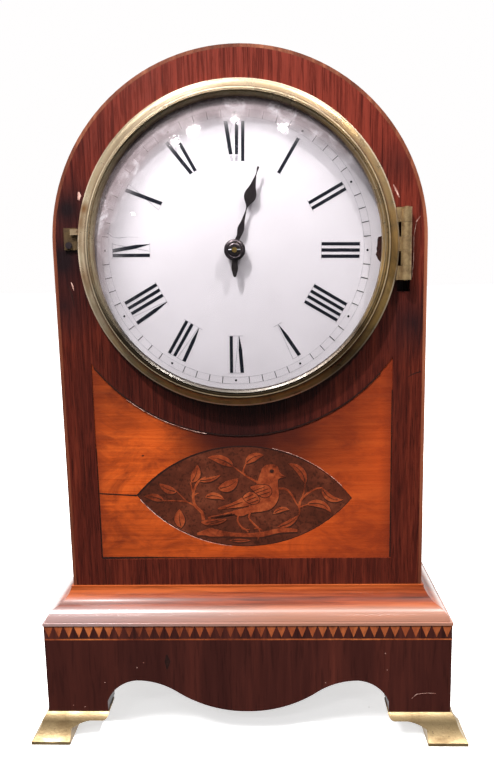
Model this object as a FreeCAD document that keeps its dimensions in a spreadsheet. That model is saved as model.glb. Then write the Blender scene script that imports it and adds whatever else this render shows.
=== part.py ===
"""Arched-top bracket clock with a hinged bezel, a rear door and a rear-wound pendulum timepiece.

Frame: X to the right of the dial, Y from the front to the back, Z up. The origin is on the ground,
in the middle of the four feet. Lengths are in millimetres, angles in degrees.
"""

import FreeCAD, Part
import math
import operator
import os

import Sketcher
from FreeCAD import Placement, Rotation, Vector

# Driving dimensions: alias in the sheet, value.
DRIVING = [
    # case
    ("bezel_margin", 13.2),
    ("case_depth", 120),
    ("rail_height", 14.1),
    ("front_thickness", 12),
    ("wall", 9),
    ("edge_line", 1.6),
    # base
    ("foot_height", 14),
    ("plinth_height", 47),
    ("moulding_height", 16),
    ("base_overhang", 13),
    ("plinth_thickness", 15),
    ("fillet_proud", 0.4),
    ("fillet_height", 1.4),
    ("cove_out", 6),
    ("cove_drop", 7.8),
    ("cove_radius", 14),
    ("ovolo_radius", 9),
    ("top_bead", 1),
    ("apron_leg", 31),
    ("apron_rise", 17.1),
    ("apron_corner_radius", 18),
    ("apron_shoulder", 15.6),
    ("apron_crest_run", 20),
    ("apron_crest_radius", 36.8),
    ("apron_sweep_drop", 5.9),
    ("apron_sweep_radius", 62.5),
    ("banding_height", 8),
    ("banding_depth", 0.8),
    # feet
    ("foot_flare", 7.6),
    ("foot_toe_height", 1.8),
    ("foot_wing", 31.4),
    ("foot_pad", 12.4),
    ("foot_waist_height", 5),
    ("foot_tongue_height", 10.4),
    ("foot_screw_radius", 1.5),
    ("foot_screw_length", 15),
    # dial opening, panel and plaque
    ("dial_margin", 1.8),
    ("bezel_right", -0.5),
    ("bezel_drop", 2.2),
    ("stile_left", 15.6),
    ("stile_right", 15.8),
    ("panel_arc_margin", 15.2),
    ("panel_thickness", 1.2),
    ("panel_sink", 0.4),
    ("plaque_gap_above", 5.8),
    ("plaque_gap_below", 6.6),
    ("plaque_half_length", 54.5),
    ("plaque_half_height", 26.4),
    ("plaque_tilt", 1.2),
    # bezel
    ("bezel_lap", 3.8),
    ("sight_lap", 3),
    ("bezel_height", 7.9),
    ("bezel_gap", 0.1),
    ("glass_lap", 2.3),
    ("glass_rise", 9),
    ("glass_thickness", 1.6),
    ("rebate_depth", 4),
    ("hinge_offset", 3),
    ("hinge_forward", 3.3),
    ("hinge_radius", 2.5),
    ("hinge_length", 33.8),
    ("hinge_pin_radius", 1),
    ("hinge_leaf", 2),
    ("knuckle_gap", 0.12),
    ("running_fit", 0.05),
    ("catch_offset", 6.7),
    ("catch_top", 8.7),
    ("catch_height", 10.4),
    ("catch_width", 6.2),
    ("catch_thickness", 1),
    # rear door
    ("frame_width", 15),
    ("frame_sill", 14),
    ("frame_thickness", 12),
    ("door_gap", 1.2),
    ("door_thickness", 10),
    ("door_stile", 13),
    ("door_glass_thickness", 2),
    ("door_hinge_radius", 2.2),
    ("door_hinge_length", 28),
    ("door_hinge_low", 40),
    ("door_hinge_high", 150),
    ("door_leaf_width", 12),
    ("door_leaf_thickness", 1.2),
    ("latch_height", 95),
    ("latch_tongue", 16),
    ("latch_knob_radius", 6),
    # dial and hands
    ("dial_left", 1.5),
    ("dial_drop", 3.5),
    ("dial_radius", 71.2),
    ("dial_rise", 4.5),
    ("dial_thickness", 1.6),
    ("dial_set_back", 0.6),
    ("dial_hole_radius", 4.5),
    ("hour_hand_length", 39.6),
    ("hour_hand_angle", 17.3),
    ("minute_stub_length", 12.6),
    ("minute_stub_angle", 181),
    ("hand_thickness", 0.6),
    ("collet_radius", 5),
    # movement frame
    ("plate_half_width", 45),
    ("plate_up", 60),
    ("plate_down", 69),
    ("plate_thickness", 2.5),
    ("plate_space", 36),
    ("movement_set_back", 14),
    ("pillar_radius", 3.5),
    ("pillar_in", 7),
    ("seat_thickness", 12),
    # arbors and wheels
    ("arbor_radius", 1.2),
    ("pivot_radius", 0.6),
    ("end_shake", 0.1),
    ("wheel_thickness", 1.6),
    ("backlash", 0.14),
    ("train_module", 0.4),
    ("train_teeth", 96),
    ("train_leaves", 8),
    ("third_angle", 140),
    ("escape_angle", 40),
    ("second_module", 0.6),
    ("second_teeth", 60),
    ("centre_leaves", 12),
    ("second_angle", -60),
    ("barrel_module", 0.65),
    ("barrel_teeth", 84),
    ("second_leaves", 12),
    ("barrel_angle", -146),
    ("barrel_length", 22),
    ("barrel_wall", 1.2),
    ("winding_radius", 2.5),
    ("winding_square", 3.6),
    ("winding_length", 14),
    ("spring_strip", 0.5),
    ("spring_turns", 8),
    ("ratchet_radius", 9),
    ("ratchet_teeth", 24),
    ("click_distance", 13.2),
    ("escape_radius", 14),
    ("escape_teeth", 30),
    ("pallet_distance", 19.5),
    ("motion_module", 0.5),
    ("cannon_leaves", 12),
    ("minute_teeth", 36),
    ("hour_module", 0.48),
    ("minute_leaves", 10),
    ("hour_teeth", 40),
    # pendulum
    ("pendulum_back", 49),
    ("pendulum_length", 172.6),
    ("rod_radius", 1.2),
    ("bob_radius", 18),
    ("bob_half_thickness", 4.5),
]

doc = FreeCAD.newDocument("bracket_clock")
sheet = doc.addObject("Spreadsheet::Sheet", "sizes")
OPERATIONS = {"+": operator.add, "-": operator.sub, "*": operator.mul, "/": operator.truediv}
NODES = []


class Size:
    """A length that keeps both its present value and the sheet expression that gives it."""

    def __init__(self, value, text):
        self.value = value
        self.text = text

    def __add__(self, other):
        return joined(self, "+", other)

    def __radd__(self, other):
        return joined(other, "+", self)

    def __sub__(self, other):
        return joined(self, "-", other)

    def __rsub__(self, other):
        return joined(other, "-", self)

    def __mul__(self, other):
        return joined(self, "*", other)

    def __rmul__(self, other):
        return joined(other, "*", self)

    def __truediv__(self, other):
        return joined(self, "/", other)

    def __neg__(self):
        return joined(0, "-", self)


def size(number):
    """A plain number as a Size; a Size as it is."""
    return number if isinstance(number, Size) else Size(float(number), repr(float(number)))


def joined(left, sign, right):
    left = size(left)
    right = size(right)
    return Size(OPERATIONS[sign](left.value, right.value), f"({left.text} {sign} {right.text})")


def root(square):
    return Size(math.sqrt(square.value), f"sqrt({square.text})")


def along(angle, distance):
    """The X and Z parts of a distance taken at an angle from +X towards +Z."""
    radians = math.radians(angle.value)
    right = Size(distance.value * math.cos(radians), f"({distance.text} * cos({angle.text} * 1 deg))")
    up = Size(distance.value * math.sin(radians), f"({distance.text} * sin({angle.text} * 1 deg))")
    return right, up


class Driving:
    """The driving dimensions as attributes, each a Size bound to its cell."""


d = Driving()
for row, (alias, value) in enumerate(DRIVING, start=1):
    sheet.set(f"A{row}", alias)
    sheet.set(f"B{row}", str(value))
    sheet.setAlias(f"B{row}", alias)
    setattr(d, alias, Size(float(value), f"sizes.{alias}"))
doc.recompute()

# ---------------------------------------------------------------- levels and axes worked out
opening_radius = d.dial_radius + d.dial_margin
bezel_radius = opening_radius + d.bezel_lap
sight_radius = d.dial_radius - d.sight_lap
glass_radius = sight_radius + d.glass_lap
hinge_right = d.bezel_right + bezel_radius + d.hinge_offset
catch_left = bezel_radius - d.bezel_right + d.catch_offset
half_width = bezel_radius + d.bezel_margin
panel_left = half_width - d.stile_left
panel_right = half_width - d.stile_right
panel_arc_radius = bezel_radius + d.panel_arc_margin
plaque_drop = d.bezel_drop + panel_arc_radius + d.plaque_gap_above + d.plaque_half_height
panel_bottom = plaque_drop + d.plaque_half_height + d.plaque_gap_below
case_rise = panel_bottom + d.rail_height
inner_half = half_width - d.wall
base_half = half_width + d.base_overhang
base_back = (d.case_depth + d.base_overhang) / 2
base_front = -base_back
face = base_front + d.base_overhang
board_back = face + d.front_thickness
plinth_top = d.foot_height + d.plinth_height
floor = plinth_top + d.moulding_height
springing = floor + case_rise

bezel_x = d.bezel_right
bezel_z = springing - d.bezel_drop
axis_x = -d.dial_left
axis_z = springing - d.dial_drop

front_plate = face + d.movement_set_back
frame_front = front_plate + d.plate_thickness
frame_back = frame_front + d.plate_space
back_plate = frame_back + d.plate_thickness

second_distance = d.second_module * (d.second_teeth + d.centre_leaves) / 2
barrel_distance = d.barrel_module * (d.barrel_teeth + d.second_leaves) / 2
train_distance = d.train_module * (d.train_teeth + d.train_leaves) / 2
motion_distance = d.motion_module * (d.minute_teeth + d.cannon_leaves) / 2


def stepped(start, angle, distance):
    """The axis that lies at an angle and a distance from another axis."""
    right, up = along(angle, distance)
    return start[0] + right, start[1] + up


centre_axis = (axis_x, axis_z)
second_axis = stepped(centre_axis, d.second_angle, second_distance)
barrel_axis = stepped(second_axis, d.barrel_angle, barrel_distance)
third_axis = stepped(centre_axis, d.third_angle, train_distance)
escape_axis = stepped(third_axis, d.escape_angle, train_distance)
pallet_axis = (escape_axis[0], escape_axis[1] + d.pallet_distance)
minute_axis = (axis_x, axis_z - motion_distance)
pendulum_y = face + d.movement_set_back + d.pendulum_back
bob_z = pallet_axis[1] - d.pendulum_length
seat_top = axis_z - d.plate_down

# ---------------------------------------------------------------- building helpers
ALONG_Y = Rotation(Vector(1, 0, 0), -90)
UPPER_HALF = Rotation(Vector(1, 0, 0), 90)


def bind(item, field, length):
    item.setExpression(field, size(length).text)


def place(item, x, y, z):
    for letter, length in zip("xyz", (x, y, z)):
        bind(item, f"Placement.Base.{letter}", length)


def box(xs, ys, zs):
    """A block between two positions along each axis."""
    item = doc.addObject("Part::Box", "Block")
    for field, (low, high) in zip(("Length", "Width", "Height"), (xs, ys, zs)):
        bind(item, field, size(high) - size(low))
    place(item, xs[0], ys[0], zs[0])
    return item


def rod_y(axis, ys, radius):
    """A round rod along Y on an axis given by its X and Z."""
    item = doc.addObject("Part::Cylinder", "Rod")
    item.Placement = Placement(Vector(), ALONG_Y)
    bind(item, "Radius", radius)
    bind(item, "Height", size(ys[1]) - size(ys[0]))
    place(item, axis[0], ys[0], axis[1])
    return item


def rod_z(x, y, zs, radius):
    """A round rod along Z."""
    item = doc.addObject("Part::Cylinder", "Post")
    bind(item, "Radius", radius)
    bind(item, "Height", size(zs[1]) - size(zs[0]))
    place(item, x, y, zs[0])
    return item


def ball(x, y, z, radius):
    item = doc.addObject("Part::Sphere", "Ball")
    bind(item, "Radius", radius)
    place(item, x, y, z)
    return item


def fuse(*pieces):
    item = doc.addObject("Part::MultiFuse", "Fusion")
    item.Shapes = list(pieces)
    item.Refine = True
    return item


def common(*pieces):
    item = doc.addObject("Part::MultiCommon", "Overlap")
    item.Shapes = list(pieces)
    return item


def cut(base, *tools):
    item = doc.addObject("Part::Cut", "Remainder")
    item.Base = base
    item.Tool = tools[0] if len(tools) == 1 else fuse(*tools)
    return item


def mirrored(source, normal):
    """A mirror image about the plane through the origin with the given normal."""
    item = doc.addObject("Part::Mirroring", "Mirror")
    item.Source = source
    item.Base = Vector()
    item.Normal = normal
    return item


def group(*pieces):
    """Separate solids that share one node."""
    item = doc.addObject("Part::Compound", "Group")
    item.Links = list(pieces)
    return item


def node(label, item):
    """Name a sub-part and keep it for export."""
    item.Label = label
    NODES.append(item)
    return item


def edge_between(start, end, radius, left):
    """A straight edge, or an arc of a radius that turns left or right from start to end."""
    if radius is None:
        return Part.LineSegment(start, end)
    chord = end - start
    across = Vector(-chord.y, chord.x, 0).normalize()
    reach = math.sqrt(radius * radius - (chord.Length / 2) ** 2)
    centre = (start + end) * 0.5 + across * (reach if left else -reach)
    first = math.atan2(start.y - centre.y, start.x - centre.x)
    last = math.atan2(end.y - centre.y, end.x - centre.x)
    if not left:
        first, last = last, first
    if last < first:
        last += 2 * math.pi
    return Part.ArcOfCircle(Part.Circle(centre, Vector(0, 0, 1), radius), first, last)


def outline_sketch(body, plane, corners):
    """A closed sketch on one of the body's own planes, each corner and radius bound to the sheet.

    A corner is (u, v), or (u, v, radius, "left" or "right") where an arc leaves it.
    """
    sketch = body.newObject("Sketcher::SketchObject", "Outline")
    origin_plane = [part for part in body.Origin.OriginFeatures if part.Role == plane][0]
    sketch.AttachmentSupport = [(origin_plane, "")]
    sketch.MapMode = "FlatFace"
    corners = [tuple(corner) + (None, "left") if len(corner) == 2 else corner for corner in corners]
    points = [Vector(size(corner[0]).value, size(corner[1]).value, 0) for corner in corners]
    count = len(corners)
    starts = []
    for index, corner in enumerate(corners):
        radius = None if corner[2] is None else size(corner[2]).value
        left = corner[3] == "left"
        sketch.addGeometry(edge_between(points[index], points[(index + 1) % count], radius, left), False)
        starts.append(1 if left else 2)
    for index in range(count):
        after = (index + 1) % count
        ends_at = 3 - starts[index]
        sketch.addConstraint(Sketcher.Constraint("Coincident", index, ends_at, after, starts[after]))
    for index, corner in enumerate(corners):
        for kind, name, length in (("DistanceX", "across", corner[0]), ("DistanceY", "up", corner[1])):
            value = size(length).value
            place_rule = Sketcher.Constraint(kind, -1, 1, index, starts[index], value)
            sketch.renameConstraint(sketch.addConstraint(place_rule), f"{name}{index}")
            bind(sketch, f"Constraints.{name}{index}", length)
        if corner[2] is not None:
            rule = Sketcher.Constraint("Radius", index, size(corner[2]).value)
            sketch.renameConstraint(sketch.addConstraint(rule), f"bend{index}")
            bind(sketch, f"Constraints.bend{index}", corner[2])
    return sketch


def padded(plane, corners, low, high):
    """A body padded from an outline: (x, z) along Y, (y, z) along X or (x, y) along Z."""
    body = doc.addObject("PartDesign::Body", "Body")
    sketch = outline_sketch(body, plane, corners)
    start = -size(high) if plane == "XZ_Plane" else size(low)
    bind(sketch, "AttachmentOffset.Base.z", start)
    pad = body.newObject("PartDesign::Pad", "Pad")
    pad.Profile = sketch
    bind(pad, "Length", size(high) - size(low))
    body.Tip = pad
    sketch.Visibility = False
    return body


def revolved(corners, axis):
    """A body turned about an axis along Y from an outline in (radius, y)."""
    body = doc.addObject("PartDesign::Body", "Body")
    sketch = outline_sketch(body, "XY_Plane", corners)
    turn = body.newObject("PartDesign::Revolution", "Turned")
    turn.Profile = sketch
    turn.ReferenceAxis = (sketch, ["V_Axis"])
    turn.Angle = 360
    body.Tip = turn
    place(body, axis[0], 0, axis[1])
    return body


def feature(shape, x, y, z):
    """An object that holds a shape of its own, moved to its place."""
    item = doc.addObject("Part::Feature", "Shape")
    item.Shape = shape
    place(item, x, y, z)
    return item


def arch(half, ys, low):
    """An upright slab with a round top about the springing line."""
    return fuse(box((-half, half), ys, (low, springing)), rod_y((size(0), springing), ys, half))


def dome(axis, radius, rise, rim_y, thickness):
    """A shallow dome that bulges towards the front, with its rim's front edge at rim_y."""
    outer = (radius * radius + rise * rise) / (2 * rise)
    centre_y = rim_y - rise + outer
    disc = rod_y(axis, (rim_y - rise - 1, rim_y + thickness + 1), radius)
    return cut(
        common(disc, ball(axis[0], centre_y, axis[1], outer)),
        ball(axis[0], centre_y, axis[1], outer - thickness),
    )


# ---------------------------------------------------------------- toothed and pointed outlines
PRESSURE = math.radians(25)
WHEEL_ADDENDUM = 0.7
LEAF_ADDENDUM = 0.8
DEDENDUM = 1.15


def in_plane(radius, angle):
    """A point of the XZ plane at a radius and an angle from +X towards +Z."""
    return Vector(radius * math.cos(angle), 0, radius * math.sin(angle))


def involute(angle):
    return math.tan(angle) - angle


def tooth_points(teeth, module, addendum, phase, steps):
    """The corners of a thinned involute outline with a tooth centred on the phase angle."""
    pitch = teeth * module / 2
    base = pitch * math.cos(PRESSURE)
    half = (math.pi * module / 2 - d.backlash.value) / (2 * pitch)
    low = pitch - DEDENDUM * module
    high = pitch + addendum * module
    radii = [low + (high - low) * step / steps for step in range(steps + 1)]
    leans = [math.acos(min(1, base / radius)) for radius in radii]
    halves = [half + involute(PRESSURE) - involute(lean) for lean in leans]
    points = []
    for tooth in range(teeth):
        middle = phase + 2 * math.pi * tooth / teeth
        points += [in_plane(radius, middle - width) for radius, width in zip(radii, halves)]
        points += [in_plane(radius, middle + width) for radius, width in zip(radii[::-1], halves[::-1])]
    return points


def circle_wire(radius):
    return Part.Wire(Part.makeCircle(radius, Vector(), Vector(0, 1, 0)))


def spoke_gap(hub, rim, spokes, arm, index):
    """The opening between two crossings of a wheel."""
    middle = 2 * math.pi * (index + 0.5) / spokes
    reach = math.pi / spokes
    inner = reach - math.asin(arm / 2 / hub)
    outer = reach - math.asin(arm / 2 / rim)
    corners = [in_plane(hub, middle - inner), in_plane(rim, middle - outer)]
    corners += [in_plane(rim, middle + outer), in_plane(hub, middle + inner)]
    return Part.Wire([
        Part.LineSegment(corners[0], corners[1]).toShape(),
        Part.Arc(corners[1], in_plane(rim, middle), corners[2]).toShape(),
        Part.LineSegment(corners[2], corners[3]).toShape(),
        Part.Arc(corners[3], in_plane(hub, middle), corners[0]).toShape(),
    ])


def plate_of(outline, holes, thickness):
    """A flat piece in the XZ plane, extruded towards the back."""
    solid = Part.Face(outline).extrude(Vector(0, thickness, 0))
    for hole in holes:
        solid = solid.cut(Part.Face(hole).extrude(Vector(0, thickness, 0)))
    return solid


def closed(points):
    return Part.makePolygon(points + [points[0]])


def wheel(axis, ys, teeth, module, phase, bore, crossed=True):
    """A wheel with thin straight-sided teeth, crossed out with five spokes."""
    teeth_count = round(teeth.value)
    pitch = teeth_count * module.value / 2
    points = tooth_points(teeth_count, module.value, WHEEL_ADDENDUM, math.radians(phase), 1)
    holes = [circle_wire(bore.value)]
    if crossed:
        hub = max(bore.value * 2.2, pitch * 0.2)
        rim = pitch - 4.5 * module.value
        holes += [spoke_gap(hub, rim, 5, pitch * 0.1, index) for index in range(5)]
    shape = plate_of(closed(points), holes, ys[1].value - ys[0].value)
    return feature(shape, axis[0], ys[0], axis[1])


def pinion(axis, ys, leaves, module, phase, bore):
    """A pinion whose leaf gap, not its leaf, is centred on the phase angle."""
    count = round(leaves.value)
    turned = math.radians(phase) + math.pi / count
    points = tooth_points(count, module.value, LEAF_ADDENDUM, turned, 3)
    shape = plate_of(closed(points), [circle_wire(bore.value)], ys[1].value - ys[0].value)
    return feature(shape, axis[0], ys[0], axis[1])


def pointed_teeth(count, marks, phase):
    """The corners of a wheel of slanting teeth; a mark is a radius and a part of the tooth step."""
    step = 2 * math.pi / count
    start = math.radians(phase)
    return [in_plane(radius, start + step * (tooth + part)) for tooth in range(count) for radius, part in marks]


def curve_plate(points, thickness):
    """A flat piece in the XZ plane bounded by a smooth closed curve."""
    curve = Part.BSplineCurve()
    curve.interpolate(Points=points, PeriodicFlag=True)
    return Part.Face(Part.Wire(curve.toShape())).extrude(Vector(0, thickness, 0))


# ---------------------------------------------------------------- screws, made first so that holes match
def foot_screws():
    """Two screws up through each front foot and each back foot."""
    screws = []
    low = d.foot_tongue_height
    for side in (-1, 1):
        for end in (-1, 1):
            corner_x = side * base_half
            corner_y = end * base_back
            inset = d.plinth_thickness / 2
            run = d.foot_wing - 7.4
            spots = [
                (corner_x - side * run, corner_y - end * inset),
                (corner_x - side * inset, corner_y - end * run),
            ]
            for x, y in spots:
                shank = rod_z(x, y, (low, low + d.foot_screw_length), d.foot_screw_radius)
                head = rod_z(x, y, (low - 1.4, low), d.foot_screw_radius * 1.8)
                screws.append(fuse(shank, head))
    return screws


def catch_screw():
    """The screw that holds the catch plate to the front."""
    axis = (-catch_left + 2.2, springing + d.catch_top - d.catch_height + 2.2)
    front = face - d.catch_thickness
    return fuse(rod_y(axis, (front, face + 9), size(0.9)), rod_y(axis, (front - 0.7, front), size(1.6)))


case_screws = node("case_screws", group(*foot_screws(), catch_screw()))


# ---------------------------------------------------------------- base
def base_profile(sign, wall_at):
    """The moulding's section: bead, cove, ovolo and fillet; the distance out is along sign."""
    out = d.base_overhang + d.fillet_proud
    bead_low = floor - d.top_bead
    cove_end = (wall_at + sign * d.cove_out, bead_low - d.cove_drop + 1)
    ovolo_end = wall_at + sign * (d.base_overhang - 0.8)
    fillet_top = plinth_top + d.fillet_height
    first = "right" if sign < 0 else "left"
    second = "left" if sign < 0 else "right"
    return [
        (wall_at, floor),
        (wall_at + sign * d.top_bead, floor),
        (wall_at + sign * d.top_bead, bead_low, d.cove_radius, first),
        (cove_end[0], cove_end[1], d.ovolo_radius, second),
        (ovolo_end, fillet_top + 0.4),
        (ovolo_end, fillet_top),
        (wall_at + sign * out, fillet_top),
        (wall_at + sign * out, plinth_top),
        (wall_at, plinth_top),
    ]


def base_moulding():
    """Three lengths round the front and sides, mitred at the front corners."""
    out = d.base_overhang + d.fillet_proud
    wide = half_width + out
    front_bar = padded("YZ_Plane", base_profile(-1, face), -wide, wide)
    front_mitre = padded(
        "XY_Plane",
        [(-half_width, face), (-wide, face - out), (wide, face - out), (half_width, face)],
        plinth_top,
        floor,
    )
    side_bar = padded("XZ_Plane", base_profile(1, half_width), face - out, base_back)
    side_mitre = padded(
        "XY_Plane",
        [(half_width, face), (wide, face - out), (wide, base_back), (half_width, base_back)],
        plinth_top,
        floor,
    )
    side = common(side_bar, side_mitre)
    return group(common(front_bar, front_mitre), side, mirrored(side, Vector(1, 0, 0)))


def banding():
    """Dog-tooth banding let in round the top of the plinth, in three strips."""
    zs = (plinth_top - d.banding_height, plinth_top)
    depth = d.banding_depth
    front = box((-base_half, base_half), (base_front, base_front + depth), zs)
    side = box((base_half - depth, base_half), (base_front + depth, base_back), zs)
    return group(front, side, mirrored(side, Vector(1, 0, 0)))


def apron_half(sign):
    """The shaped lower edge from the leg to the middle, on one side."""
    low = d.foot_height
    inner = base_half - d.apron_leg
    crest = low + d.apron_rise
    crest_x = inner - d.apron_shoulder
    sweep_x = crest_x - d.apron_crest_run
    sweep_z = crest - d.apron_sweep_drop
    turns = ("right", "right", "left") if sign < 0 else ("left", "left", "right")
    return inner, crest_x, sweep_x, crest, sweep_z, low, turns


def apron_outline():
    """The outline of the front and back of the plinth, from below left, clockwise in (x, z)."""
    inner, crest_x, sweep_x, crest, sweep_z, low, turns = apron_half(-1)
    corner = (d.apron_corner_radius, turns[0])
    ridge = (d.apron_crest_radius, turns[1])
    sweep = (d.apron_sweep_radius, turns[2])
    return [
        (-base_half, low),
        (-base_half, plinth_top),
        (base_half, plinth_top),
        (base_half, low),
        (inner, low),
        (inner, low + 5.5, corner[0], "left"),
        (crest_x, crest, ridge[0], "left"),
        (sweep_x, sweep_z, sweep[0], "right"),
        (size(0), low, sweep[0], "right"),
        (-sweep_x, sweep_z, ridge[0], "left"),
        (-crest_x, crest, corner[0], "left"),
        (-inner, low + 5.5),
        (-inner, low),
    ]


def side_outline():
    """The outline of a plinth side in (y, z), arched between its legs."""
    low = d.foot_height
    end = base_back - d.plinth_thickness
    inner = base_back - d.apron_leg
    crest = low + d.apron_rise
    crest_y = inner - d.apron_shoulder
    return [
        (-end, low),
        (-end, plinth_top),
        (end, plinth_top),
        (end, low),
        (inner, low),
        (inner, low + 5.5, d.apron_corner_radius, "left"),
        (crest_y, crest),
        (-crest_y, crest, d.apron_corner_radius, "left"),
        (-inner, low + 5.5),
        (-inner, low),
    ]


banding_strips = node("banding", banding())
node("base_moulding", base_moulding())
node("plinth_front", cut(
    padded("XZ_Plane", apron_outline(), base_front, base_front + d.plinth_thickness),
    banding_strips,
    case_screws,
))
node("plinth_back", cut(
    padded("XZ_Plane", apron_outline(), base_back - d.plinth_thickness, base_back),
    banding_strips,
    case_screws,
))
plinth_right = cut(
    padded("YZ_Plane", side_outline(), base_half - d.plinth_thickness, base_half),
    banding_strips,
    case_screws,
)
node("plinth_sides", group(plinth_right, mirrored(plinth_right, Vector(1, 0, 0))))
node("base_board", box((-half_width, half_width), (face, base_back), (plinth_top, floor)))


def glue_blocks():
    """Corner blocks inside the plinth, and the cleats that carry the seatboard."""
    blocks = []
    inner = base_half - d.plinth_thickness
    end = base_back - d.plinth_thickness
    zs = (d.foot_height + 2, plinth_top)
    width = d.plinth_thickness
    corner = box((inner - width, inner), (end - width, end), zs)
    blocks.append(corner)
    blocks.append(mirrored(corner, Vector(1, 0, 0)))
    blocks.append(mirrored(corner, Vector(0, 1, 0)))
    blocks.append(mirrored(blocks[1], Vector(0, 1, 0)))
    low = seat_top - 2 * d.seat_thickness
    cleat = box((inner_half - d.seat_thickness, inner_half), (board_back, back_plate), (low, low + d.seat_thickness))
    blocks.append(cleat)
    blocks.append(mirrored(cleat, Vector(1, 0, 0)))
    return group(*blocks)


node("glue_blocks", glue_blocks())


# ---------------------------------------------------------------- feet
def flare_profile(sign, wall_at, inward):
    """The foot's section: an ogee that runs out to the toe along sign, and back in behind the wall."""
    lip = 0.4
    throat = 2.7
    return [
        (wall_at - sign * inward, size(0)),
        (wall_at - sign * inward, d.foot_height),
        (wall_at + sign * lip, d.foot_height, size(8), "left" if sign < 0 else "right"),
        (wall_at + sign * throat, d.foot_tongue_height, size(16), "right" if sign < 0 else "left"),
        (wall_at + sign * d.foot_flare, d.foot_toe_height),
        (wall_at + sign * d.foot_flare, size(0)),
    ]


def wing_profile(corner, sign):
    """One wing seen square on: tongue, waist and pad; it runs from the corner along sign."""
    reach = d.foot_wing
    turn = "right" if sign > 0 else "left"
    other = "left" if sign > 0 else "right"
    tongue = d.foot_tongue_height
    waist = d.foot_pad - 2.2
    return [
        (corner - sign * (d.foot_flare + 1), size(0)),
        (corner - sign * (d.foot_flare + 1), d.foot_height),
        (corner + sign * reach, d.foot_height, size(3.4), turn),
        (corner + sign * (reach - 4), tongue),
        (corner + sign * (reach - 9.5), tongue, size(24), other),
        (corner + sign * waist, d.foot_waist_height, size(9), other),
        (corner + sign * d.foot_pad, size(0)),
    ]


def corner_foot():
    """The back right foot: two mitred wings cast in one piece."""
    wide = d.foot_wing + 1
    far_x = base_half + d.foot_flare + 1
    far_y = base_back + d.foot_flare + 1
    from_x = base_half - wide
    from_y = base_back - wide
    back_flare = padded("YZ_Plane", flare_profile(1, base_back, wide), from_x, far_x)
    side_flare = padded("XZ_Plane", flare_profile(1, base_half, wide), from_y, far_y)
    zs = (size(0), d.foot_height)
    back_wing = common(
        back_flare,
        side_flare,
        padded("XZ_Plane", wing_profile(base_half, -1), from_y, far_y),
        box((from_x, far_x), (base_back - d.foot_pad, far_y), zs),
    )
    side_wing = common(
        back_flare,
        side_flare,
        padded("YZ_Plane", wing_profile(base_back, -1), from_x, far_x),
        box((base_half - d.foot_pad, far_x), (from_y, far_y), zs),
    )
    return fuse(back_wing, side_wing)


foot = corner_foot()
other_foot = mirrored(foot, Vector(1, 0, 0))
back_pair = group(foot, other_foot)
node("back_feet", cut(back_pair, case_screws))
node("front_feet", cut(mirrored(back_pair, Vector(0, 1, 0)), case_screws))


# ---------------------------------------------------------------- case
def panel_shape(ys):
    """The panel below the dial: straight sides and bottom, and a top that follows the dial."""
    slab = box((-panel_left, panel_right), ys, (springing - panel_bottom, springing))
    return cut(slab, rod_y((bezel_x, bezel_z), (face - 1, face + 5), panel_arc_radius))


def plaque_shape(ys):
    """A lens between two equal arcs, slightly tilted."""
    rise = d.plaque_half_height
    radius = (d.plaque_half_length * d.plaque_half_length + rise * rise) / (2 * rise)
    lens = common(
        rod_y((size(0), radius - rise), (size(0), ys[1] - ys[0]), radius),
        rod_y((size(0), rise - radius), (size(0), ys[1] - ys[0]), radius),
    )
    lens.Placement = Placement(Vector(), Rotation(Vector(0, 1, 0), 0))
    bind(lens, "Placement.Rotation.Angle", d.plaque_tilt)
    place(lens, 0, ys[0], springing - plaque_drop)
    return lens


panel_ys = (face + d.panel_sink, face + d.panel_sink + d.panel_thickness)
plaque = node("inlay_plaque", plaque_shape(panel_ys))
node("satinwood_panel", cut(panel_shape(panel_ys), plaque))

line_ys = (face, face + d.edge_line)
stringing = node("edge_stringing", cut(
    arch(half_width, line_ys, floor),
    arch(half_width - d.edge_line, line_ys, floor),
))

hinge_z = (bezel_z - d.hinge_length / 2, bezel_z + d.hinge_length / 2)
hinge_edge = hinge_right + d.hinge_radius


def hinge_mortise():
    """The slot for the case leaf, a little longer than the leaf at its lower end."""
    return box((hinge_edge - 6.3, hinge_edge), (face, face + 10), (hinge_z[0] - 5.5, hinge_z[1] + 0.3))


node("front_board", cut(
    arch(half_width, (face, board_back), floor),
    rod_y((bezel_x, bezel_z), (face, board_back), opening_radius),
    stringing,
    panel_shape((face, panel_ys[1])),
    hinge_mortise(),
    case_screws,
))

side_board = box((inner_half, half_width), (board_back, base_back), (floor, springing))
node("case_sides", group(side_board, mirrored(side_board, Vector(1, 0, 0))))


def arch_top():
    """The half-round top, between the front and the back edge."""
    rings = []
    for radius in (half_width, inner_half):
        ring = doc.addObject("Part::Cylinder", "HalfRound")
        ring.Placement = Placement(Vector(), UPPER_HALF)
        ring.Angle = 180
        bind(ring, "Radius", radius)
        bind(ring, "Height", base_back - board_back)
        place(ring, 0, base_back, springing)
        rings.append(ring)
    return cut(*rings)


node("arch_top", arch_top())

frame_ys = (base_back - d.frame_thickness, base_back)
opening_half = inner_half - d.frame_width
opening_low = floor + d.frame_sill
node("back_frame", cut(
    arch(inner_half, frame_ys, floor),
    arch(opening_half, frame_ys, opening_low),
))
node("seatboard", cut(
    box((-inner_half, inner_half), (board_back, back_plate), (seat_top - d.seat_thickness, seat_top)),
    rod_z(
        axis_x - d.plate_half_width + d.pillar_in,
        (frame_front + frame_back) / 2,
        (seat_top - d.seat_thickness, seat_top),
        size(2),
    ),
    rod_z(
        axis_x + d.plate_half_width - d.pillar_in,
        (frame_front + frame_back) / 2,
        (seat_top - d.seat_thickness, seat_top),
        size(2),
    ),
))

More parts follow.
